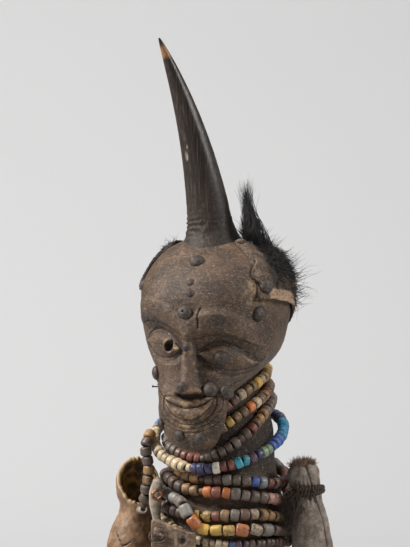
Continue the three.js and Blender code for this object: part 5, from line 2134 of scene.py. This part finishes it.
@dataclass(frozen=True)
class Bundle:
    """The leather bundle with its twisted cord and the brown fibres out of its top."""

    foot: Colour = (68.2, -2.0, 3.0)
    lean: float = -7.0
    height: float = 84.0
    bottom: float = 14.5
    top: float = 10.5
    squash: float = 0.92
    cord_share: float = (CORD_LEVEL - 3.0) / 84.0
    cord_radius: float = 1.8
    fibres: int = 1000
    loose_fibres: int = 110
    columns: int = 170
    rings: int = 150
    seed: int = 21

    def rows(self) -> list[tuple[float, float]]:
        """The bundle's profile: height as a share of its own, and radius.

        Returns:
            The rows, from its foot upward.
        """
        return [
            (0.0, 0.5 * self.bottom),
            (0.03, 0.82 * self.bottom),
            (0.10, 0.97 * self.bottom),
            (0.25, self.bottom),
            (0.50, 0.5 * self.bottom + 0.55 * self.top),
            (0.68, 1.08 * self.top),
            (0.78, 0.98 * self.top),
            (0.90, 1.06 * self.top),
            (0.97, 0.94 * self.top),
            (1.0, 0.7 * self.top),
        ]

    def _leather(self) -> None:
        """Makes the wrapped leather: gathered under the cord, creased below, with one lapped edge."""
        share, angle = np.meshgrid(np.linspace(0, 1, self.rings), turns(self.columns), indexing="ij")
        radius = read_profile(self.rows(), share)[0] * (1 + 0.03 * np.cos(3 * angle + 2 * share))
        gather = bell(self.cord_share, 0.20, share)
        pleats = np.sin(17 * angle + 3 * np.sin(2 * angle))
        radius = radius - 0.9 * bell(self.cord_share, 0.045, share)
        radius = radius + 0.26 * gather * pleats * (1 - bell(self.cord_share, 0.02, share))
        radius = radius + 0.5 * ease(0.84, 1.0, share) * np.sin(9 * angle + 6 * share)
        seam = np.angle(np.exp(1j * (angle - 0.85 - 0.35 * np.sin(4 * share))))
        lap = ease(-0.02, 0.03, seam) * (1 - ease(0.03, 0.9, seam))
        radius = radius + 0.9 * lap
        back = -radius * self.squash * np.cos(angle)
        points = np.stack([radius * np.sin(angle), back, share * self.height], -1)
        outward = outward_ways(points)
        lumps = 0.7 * rough(points, (9.0, 9.0, 12.0), 3, 5.0) + 0.16 * rough(points, (2.6, 2.6, 4.4), 3, 1.0)
        points = points + outward * lumps[..., None]
        # Painted shade under the cord, under the lapped edge and in the troughs of the pleats.
        dirt = 0.8 * bell(self.cord_share, 0.05, share) + 0.9 * bell(-0.03, 0.05, seam)
        dirt = dirt + 0.55 * gather * (pleats < -0.3)
        wear = np.clip(0.7 * lumps + 0.35 * bell(0.04, 0.06, seam), 0, 1)
        form = Form()
        form.grid(lean_over(points, self.lean, self.foot), wear=wear, dirt=np.clip(dirt, 0, 1))
        form.piece("leather_bundle", OldLeather("old_leather").build(), "old_leather", "hide_bundle")

    def _cord(self) -> None:
        """Makes the two-ply cord with its knots and ends."""
        radius = read_profile(self.rows(), np.array(self.cord_share))[0]
        reach = float(radius) + 0.75 * self.cord_radius + CLEARANCE
        turn = turns(220)
        level = self.cord_share * self.height
        form = Form()
        for row, shift in ((0, 0.0), (1, 1.3)):
            for ply in (0, math.pi):
                twist = 17 * turn + ply + shift
                out = reach + 0.62 * self.cord_radius * np.cos(twist)
                lift = 0.62 * self.cord_radius * np.sin(twist) - 2.6 * row * (1 + 0.3 * np.sin(2 * turn))
                up = level + 1.2 * np.sin(turn) + lift
                line = np.stack([out * np.sin(turn), -out * np.cos(turn), up], -1)
                form.tube(lean_over(line, self.lean, self.foot), 0.52 * self.cord_radius, 8, closed=True)
        for angle, drop, size in ((-0.55, -1.0, 2.9), (0.75, -1.4, 3.1)):
            spot = np.array([reach * math.sin(angle), -(reach + 0.8) * math.cos(angle), level + drop])
            step = turns(12)
            knot = np.stack([np.cos(2 * step), -0.4 * np.sin(3 * step), 1.2 * np.sin(step)], -1)
            line = smooth_path(spot + size * 0.62 * knot, 90, closed=True)
            form.tube(lean_over(line, self.lean, self.foot), 0.95, 8, closed=True)
            for side in (-1, 1):
                end = [spot, spot + (1.2 * side, -1.2, -3.0), spot + (2.0 * side, -0.6, -7.0 - side)]
                form.tube(lean_over(smooth_path(end, 18), self.lean, self.foot), 0.7, 7)
        cord = PlantFibre("cord_fibre", (0.022, 0.015, 0.011), (0.085, 0.06, 0.042))
        form.piece("twisted_cord", cord.build(), "fibre", "bundle_cord")

    def _fibres(self) -> None:
        """Makes the fibres that stand out of the bundle's top, and a few loose ones."""
        rng = np.random.default_rng(self.seed)
        count = self.fibres
        turn = rng.uniform(0, 2 * np.pi, count)
        out = np.sqrt(rng.uniform(0, 1, count))
        share = np.linspace(0, 1, 6)[None]
        length = rng.uniform(4.5, 10.5, count)
        spread_out = 1 + 0.45 * share * rng.normal(0.5, 0.6, (count, 1))
        reach = 0.7 * self.top * out[:, None] * spread_out
        bend = turn[:, None] + 0.5 * share * rng.normal(size=(count, 1))
        up = self.height - 3.5 + share * length[:, None] * (1 - 0.35 * out[:, None] * share)
        paths = np.stack([reach * np.sin(bend), -reach * self.squash * np.cos(bend), up], -1)
        paths = paths + 1.1 * rng.normal(size=(count, 1, 3)) * (share**2)[..., None]
        tint = np.array([0.19, 0.122, 0.08]) * rng.uniform(0.35, 1.8, (count, 1))
        form = Form()
        form.strands(lean_over(paths, self.lean, self.foot), 0.3, tint)
        # A dark cone amid the fibres, painted shade in the depth of the tuft.
        rise = np.linspace(0, 1, 8)
        core = lean_over(UP * (self.height - 2 + 5.5 * rise)[:, None], self.lean, self.foot)
        form.tube(core, 0.55 * self.top * (1 - rise**2) + 0.3, 14, tint=(0.03, 0.019, 0.013))
        form.piece("fibre_tuft", Hair("brown_fibre", 0.7).build(), "fibre", "bundle_fibre_tuft")

    def _loose(self) -> None:
        """Makes the frayed dark fibres that hang from the cord beside the beads."""
        rng = np.random.default_rng(self.seed + 1)
        count = self.loose_fibres
        start = np.array([57.0, -13.0, CORD_LEVEL + 1.0]) + rng.normal(size=(count, 3)) * (2.4, 2.0, 2.0)
        end = np.array([54.0, -17.0, 46.0]) + rng.normal(size=(count, 3)) * (3.4, 2.6, 8.5)
        share = np.linspace(0, 1, 9)[None, :, None]
        sway = rng.normal(size=(count, 1, 3)) * (4.2, 2.4, 2.0)
        curl = rng.normal(size=(count, 1, 3)) * (1.6, 1.2, 1.0)
        paths = start[:, None] + (end - start)[:, None] * share + sway * np.sin(np.pi * share)
        paths = paths + curl * np.sin(2.6 * np.pi * share)
        tint = np.array([0.04, 0.027, 0.019]) * rng.uniform(0.3, 2.6, (count, 1))
        form = Form()
        form.strands(paths, 0.26, tint)
        form.piece("loose_fibres", Hair("frayed_fibre", 0.75).build(), "fibre")

    def build(self) -> None:
        """Makes the leather, the cord and the fibres."""
        self._leather()
        self._cord()
        self._fibres()
        self._loose()


@dataclass(frozen=True)
class Pendants:
    """The small things that hang over the strands: a curved bone, a copper ring and a wooden block."""

    over_strands: float = 40.2 + 9.2 + 1.2
    bone_turn: float = math.radians(-38)
    bone_radius: float = 5.2
    bone_bow: float = 5.0
    bone_length: float = 36.0
    bone_level: float = 0.39 * HEAD
    ring_radius: float = 4.2
    wire: float = 1.1
    block_width: float = 30.0
    block_height: float = 44.0
    block_thickness: float = 10.0
    block_corner: float = 3.0
    block_turn: float = math.radians(8)
    block_foot: tuple[float, float] = (-18.0, 5.0)
    resin_at: tuple[float, float] = (-9.0, 34.5)

    def _bone_middle(self) -> Array:
        """The middle of the bone."""
        out = self.over_strands + self.bone_radius
        return np.array([out * math.sin(self.bone_turn), -out * math.cos(self.bone_turn), self.bone_level])

    def _bone(self) -> None:
        """Makes the curved bone, rubbed pale along its far edge."""
        middle, half, aside = self._bone_middle(), self.bone_length / 2, self.bone_bow
        share = np.linspace(0, 1, 90)[:, None]
        last = middle + (0.6 * aside, 0, -half)
        path = bow(middle + (0.3 * aside, 0, half), middle + (-aside, 0, 0), last, share)
        swelling = 0.72 + 0.28 * np.sin(np.pi * np.minimum(1.3 * share[:, 0], 1))
        ends = 1 - 0.75 * bell(0, 0.05, share[:, 0]) - 0.6 * bell(1, 0.06, share[:, 0])
        radius = self.bone_radius * swelling * (1 - 0.35 * share[:, 0]) * np.sqrt(ends)
        rays = spokes(*path_frames(path)[1:], turns(48))
        points = path[:, None] + rays * radius[:, None, None] * (1, 0.8, 1)
        lumps = 0.3 * rough(points, (5.0, 5.0, 8.0), 3, 6.0)
        points = points + outward_ways(points) * lumps[..., None]
        rubbed = np.clip(-1.2 * rays[..., 0] - 0.35, 0, 1) * ease(0.05, 0.2, share)
        form = Form()
        form.grid(points, wear=rubbed)
        form.piece("curved_bone", OldBone("pendant_bone").build(), "bone", "bone_pendant")

    def _ring(self) -> None:
        """Makes the copper ring, a little bent."""
        facing = unit(np.array([SHOWN_Y, -SHOWN_X, 0.0]))
        middle = self._bone_middle() + (0, 0, 0.2 * self.bone_length)
        middle = middle + facing * (self.bone_radius + self.wire + 2 * CLEARANCE)
        turn = turns(72)
        reach = (self.ring_radius - self.wire) * (1 + 0.05 * np.sin(2 * turn))
        path = middle + reach[:, None] * spokes(*square_to(facing), turn)
        form = Form()
        form.tube(path, self.wire * (1 + 0.06 * np.sin(5 * turn)), 14, closed=True)
        colours = (0.10, 0.043, 0.024), (0.42, 0.2, 0.115), (0.06, 0.035, 0.025)
        metal = OldMetal("old_copper", *colours, 0.85, 0.34)
        form.piece("copper_wire_ring", metal.build(), "copper", "copper_ring")

    def _place_block(self, points: Array) -> Array:
        """Puts points of the block (across, up, thick) where the block hangs.

        Args:
            points: The points, with their coordinates last.

        Returns:
            The moved points.
        """
        turn = self.block_turn
        across = points[..., 0] * math.cos(turn) + points[..., 2] * math.sin(turn)
        depth = points[..., 0] * math.sin(turn) - points[..., 2] * math.cos(turn)
        ahead = self.over_strands + 0.5 * self.block_width * math.sin(turn)
        side, foot = self.block_foot
        return np.stack([across + side, depth - ahead, points[..., 1] + foot], -1)

    def _block(self) -> None:
        """Makes the worn block with its rounded corners, split, and the dark hole near its top."""
        wide, high, corner = self.block_width, self.block_height, self.block_corner
        knots = [(corner, 0), (wide - corner, 0), (wide, corner), (wide, 0.4 * high), (wide, 0.76 * high)]
        knots += [(wide - corner, 0.8 * high), (0.5 * wide, 0.9 * high), (corner, high)]
        knots += [(0, high - corner), (0, 0.5 * high), (0, corner)]
        line = smooth_path([(x - wide / 2, y, 0.0) for x, y in knots], 190, closed=True)
        centre = np.array([0.0, 0.45 * high, 0.0])
        shares = np.linspace(0.03, 0.93, 36)
        bevel = np.linspace(0, math.pi / 2, 7)
        face = [(share, self.block_thickness) for share in shares]
        edge = [(1 - 0.07 * (1 - math.sin(a)), self.block_thickness - 2.0 * (1 - math.cos(a))) for a in bevel]
        side = [(1.0, lift) for lift in np.linspace(self.block_thickness - 2.5, 2.5, 9)]
        back = [(share, self.block_thickness - lift) for share, lift in reversed(face + edge)]
        table = face + edge + side + back
        rings = np.stack([centre + (line - centre) * share + (0, 0, lift) for share, lift in table[::-1]])
        across, up, thick = np.moveaxis(rings, -1, 0)
        grain = 0.5 * rough(rings, (7.0, 14.0, 7.0), 3, 4.0) + 0.2 * rough(rings, (1.2, 7.0, 2.0), 3, 8.0)
        split = bell(0, 0.5, across + 6.5 - 0.5 * np.sin(0.4 * up)) * ease(2, 9, up)
        split = split * (1 - ease(22, 27, up)) * (thick > self.block_thickness * 0.4)
        nick = bell(0, 1, np.hypot(across - 7.5, up - 29.0) / 3.4) * (thick > 5)
        points = rings + outward_ways(rings) * (grain - 0.9 * split - 1.6 * np.sqrt(nick))[..., None]
        edges = bell(0.965, 0.06, np.array([share for share, _ in table[::-1]]))[:, None]
        wear = np.clip(0.55 + 0.55 * edges + 0.8 * grain, 0, 1)
        form = Form()
        form.grid(self._place_block(points), wear=wear, dirt=np.clip(split + nick, 0, 1))
        wood = OldWood("pendant_wood", (0.06, 0.04, 0.028), (0.15, 0.095, 0.06), (0.27, 0.18, 0.115))
        wood = replace(wood, wear=0.9, roughness=0.58)
        form.piece("wooden_block", wood.build(), "wood", "wooden_pendant")

    def _resin(self) -> None:
        """Makes the dark lump of resin with the fibre curled out of it."""
        lump = ball(40, 22, 1.5)[0]
        spot = np.array([*self.resin_at, self.block_thickness + 0.6])
        height = rough(lump * 9, 5.0, 3, 3.0)
        lump = spot + lump[..., [0, 2, 1]] * (4.6, 4.2, 3.4) * (1 + 0.2 * height)[..., None]
        worn = np.clip(0.5 + 1.2 * height, 0, 1)[:, ::-1]
        form = Form()
        form.grid(self._place_block(lump)[:, ::-1], wear=worn, dirt=0.35 * (1 - worn))
        curl = [(-5.5, 1.0, 1.5), (-6.5, -3.0, 1.2), (-3.0, -6.5, 1.2), (2.5, -6.0, 1.3), (5.5, -2.5, 1.2)]
        path = smooth_path(spot + np.array([*curl, (4.0, 2.0, 2.6)]), 60)
        form.tube(self._place_block(path), 0.7, 8, wear=0.5, dirt=0.1)
        resin = OldWood("dark_resin", middle=(0.075, 0.048, 0.032), worn=(0.26, 0.165, 0.1))
        form.piece("resin_lump", resin.build(), "wood")

    def build(self) -> None:
        """Makes the pendants."""
        self._bone()
        self._ring()
        self._block()
        self._resin()


# The setting


@dataclass(frozen=True)
class Setting:
    """The pale paper, the soft lights and the camera at the photograph's angle."""

    azimuth: float = 20.0
    elevation: float = 0.0
    distance: float = 5.0
    view_height: float = 0.383
    target: Colour = (-0.0132, -0.0048, 0.2195)
    floor_half_width: float = 2.2
    backdrop_half_width: float = 0.27
    backdrop_height: float = 0.62
    sensor: float = 36.0
    clip: tuple[float, float] = (0.05, 20.0)

    def _ways(self) -> tuple[Vector, Vector]:
        """The level directions to the viewer's right and towards the viewer."""
        turn = math.radians(self.azimuth)
        return Vector((math.cos(turn), math.sin(turn), 0.0)), Vector((math.sin(turn), -math.cos(turn), 0.0))

    def _paper(self) -> None:
        """Makes the floor that curves up into the backdrop."""
        start, bend, flat = 0.62, 0.5, 0.004
        profile = [(-1.5, 0.0), (0.4, 0.0), (start, flat)]
        for turn in np.linspace(0.1, 1.5, 18):
            profile.append((start + bend * math.sin(turn), flat + bend * (1 - math.cos(turn))))
        profile.append((1.13, self.backdrop_height))
        right, near = (np.array(way) for way in self._ways())
        count = 9
        rows = []
        for far, high in profile:
            half = self.floor_half_width if high <= flat else self.backdrop_half_width
            rows.append([right * side - near * far + UP * high for side in np.linspace(-half, half, count)])
        mesh = bpy.data.meshes.new("paper")
        faces = [
            (corner, corner + 1, corner + count + 1, corner + count)
            for corner in range((len(rows) - 1) * count)
            if (corner + 1) % count
        ]
        mesh.from_pydata(np.reshape(rows, (-1, 3)).tolist(), [], faces)
        mesh.polygons.foreach_set("use_smooth", [True] * len(faces))
        mesh.materials.append(Studio("paper").build())
        made = bpy.data.objects.new("paper", mesh)
        bpy.context.scene.collection.objects.link(made)

    def _light(self, name: str, place: Colour, size: float, power: float, tone: Colour) -> None:
        """Adds a soft square light that faces the figure.

        Args:
            name: Its name.
            place: Where it stands: to the viewer's right, towards the viewer, and up, in metres.
            size: Its width in metres.
            power: Its power in watts.
            tone: Its colour.
        """
        right, near = self._ways()
        spot = right * place[0] + near * place[1] + Vector((0.0, 0.0, place[2]))
        lamp = bpy.data.lights.new(name, "AREA")
        lamp.size, lamp.energy, lamp.color = size, power, tone
        made = bpy.data.objects.new(name, lamp)
        made.location = spot
        made.rotation_euler = (spot - Vector(self.target)).to_track_quat("Z", "Y").to_euler()
        bpy.context.scene.collection.objects.link(made)

    def _camera(self) -> None:
        """Places the camera."""
        rise = math.radians(self.elevation)
        way = self._ways()[1] * math.cos(rise) + Vector((0.0, 0.0, math.sin(rise)))
        lens = bpy.data.cameras.new("camera")
        lens.sensor_fit = "VERTICAL"
        lens.sensor_height = self.sensor
        lens.lens = self.sensor * self.distance / self.view_height
        lens.clip_start, lens.clip_end = self.clip
        made = bpy.data.objects.new("camera", lens)
        made.location = Vector(self.target) + way * self.distance
        made.rotation_euler = way.to_track_quat("Z", "Y").to_euler()
        bpy.context.scene.collection.objects.link(made)
        bpy.context.scene.camera = made

    def build(self) -> None:
        """Makes the paper, the lights and the camera."""
        self._paper()
        warm, white = (1.0, 0.985, 0.96), (1.0, 1.0, 1.0)
        self._light("key_light", (-1.1, 0.32, 1.15), 0.45, 46.0, warm)
        self._light("right_light", (1.2, 0.36, 0.8), 0.34, 15.0, warm)
        self._light("top_light", (0.1, -0.3, 1.6), 1.0, 8.0, white)
        world = bpy.data.worlds.new("room")
        world.use_nodes = True
        sockets = world.node_tree.nodes["Background"].inputs
        sockets["Color"].default_value = (0.94, 0.94, 0.94, 1.0)
        sockets["Strength"].default_value = 0.25
        bpy.context.scene.world = world
        bpy.context.scene.view_settings.view_transform = "Standard"
        self._camera()


def main() -> None:
    """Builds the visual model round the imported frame."""
    logging.basicConfig(level=logging.INFO, format="%(message)s")
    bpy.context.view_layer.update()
    bust = Bust()
    for part in (bust, Horn(), Hide(bust), Tacks(), Beads(), Gourd(), Bundle(), Pendants(), Setting()):
        LOG.info("building %s", type(part).__name__)
        part.build()


if __name__ == "__main__":
    main()
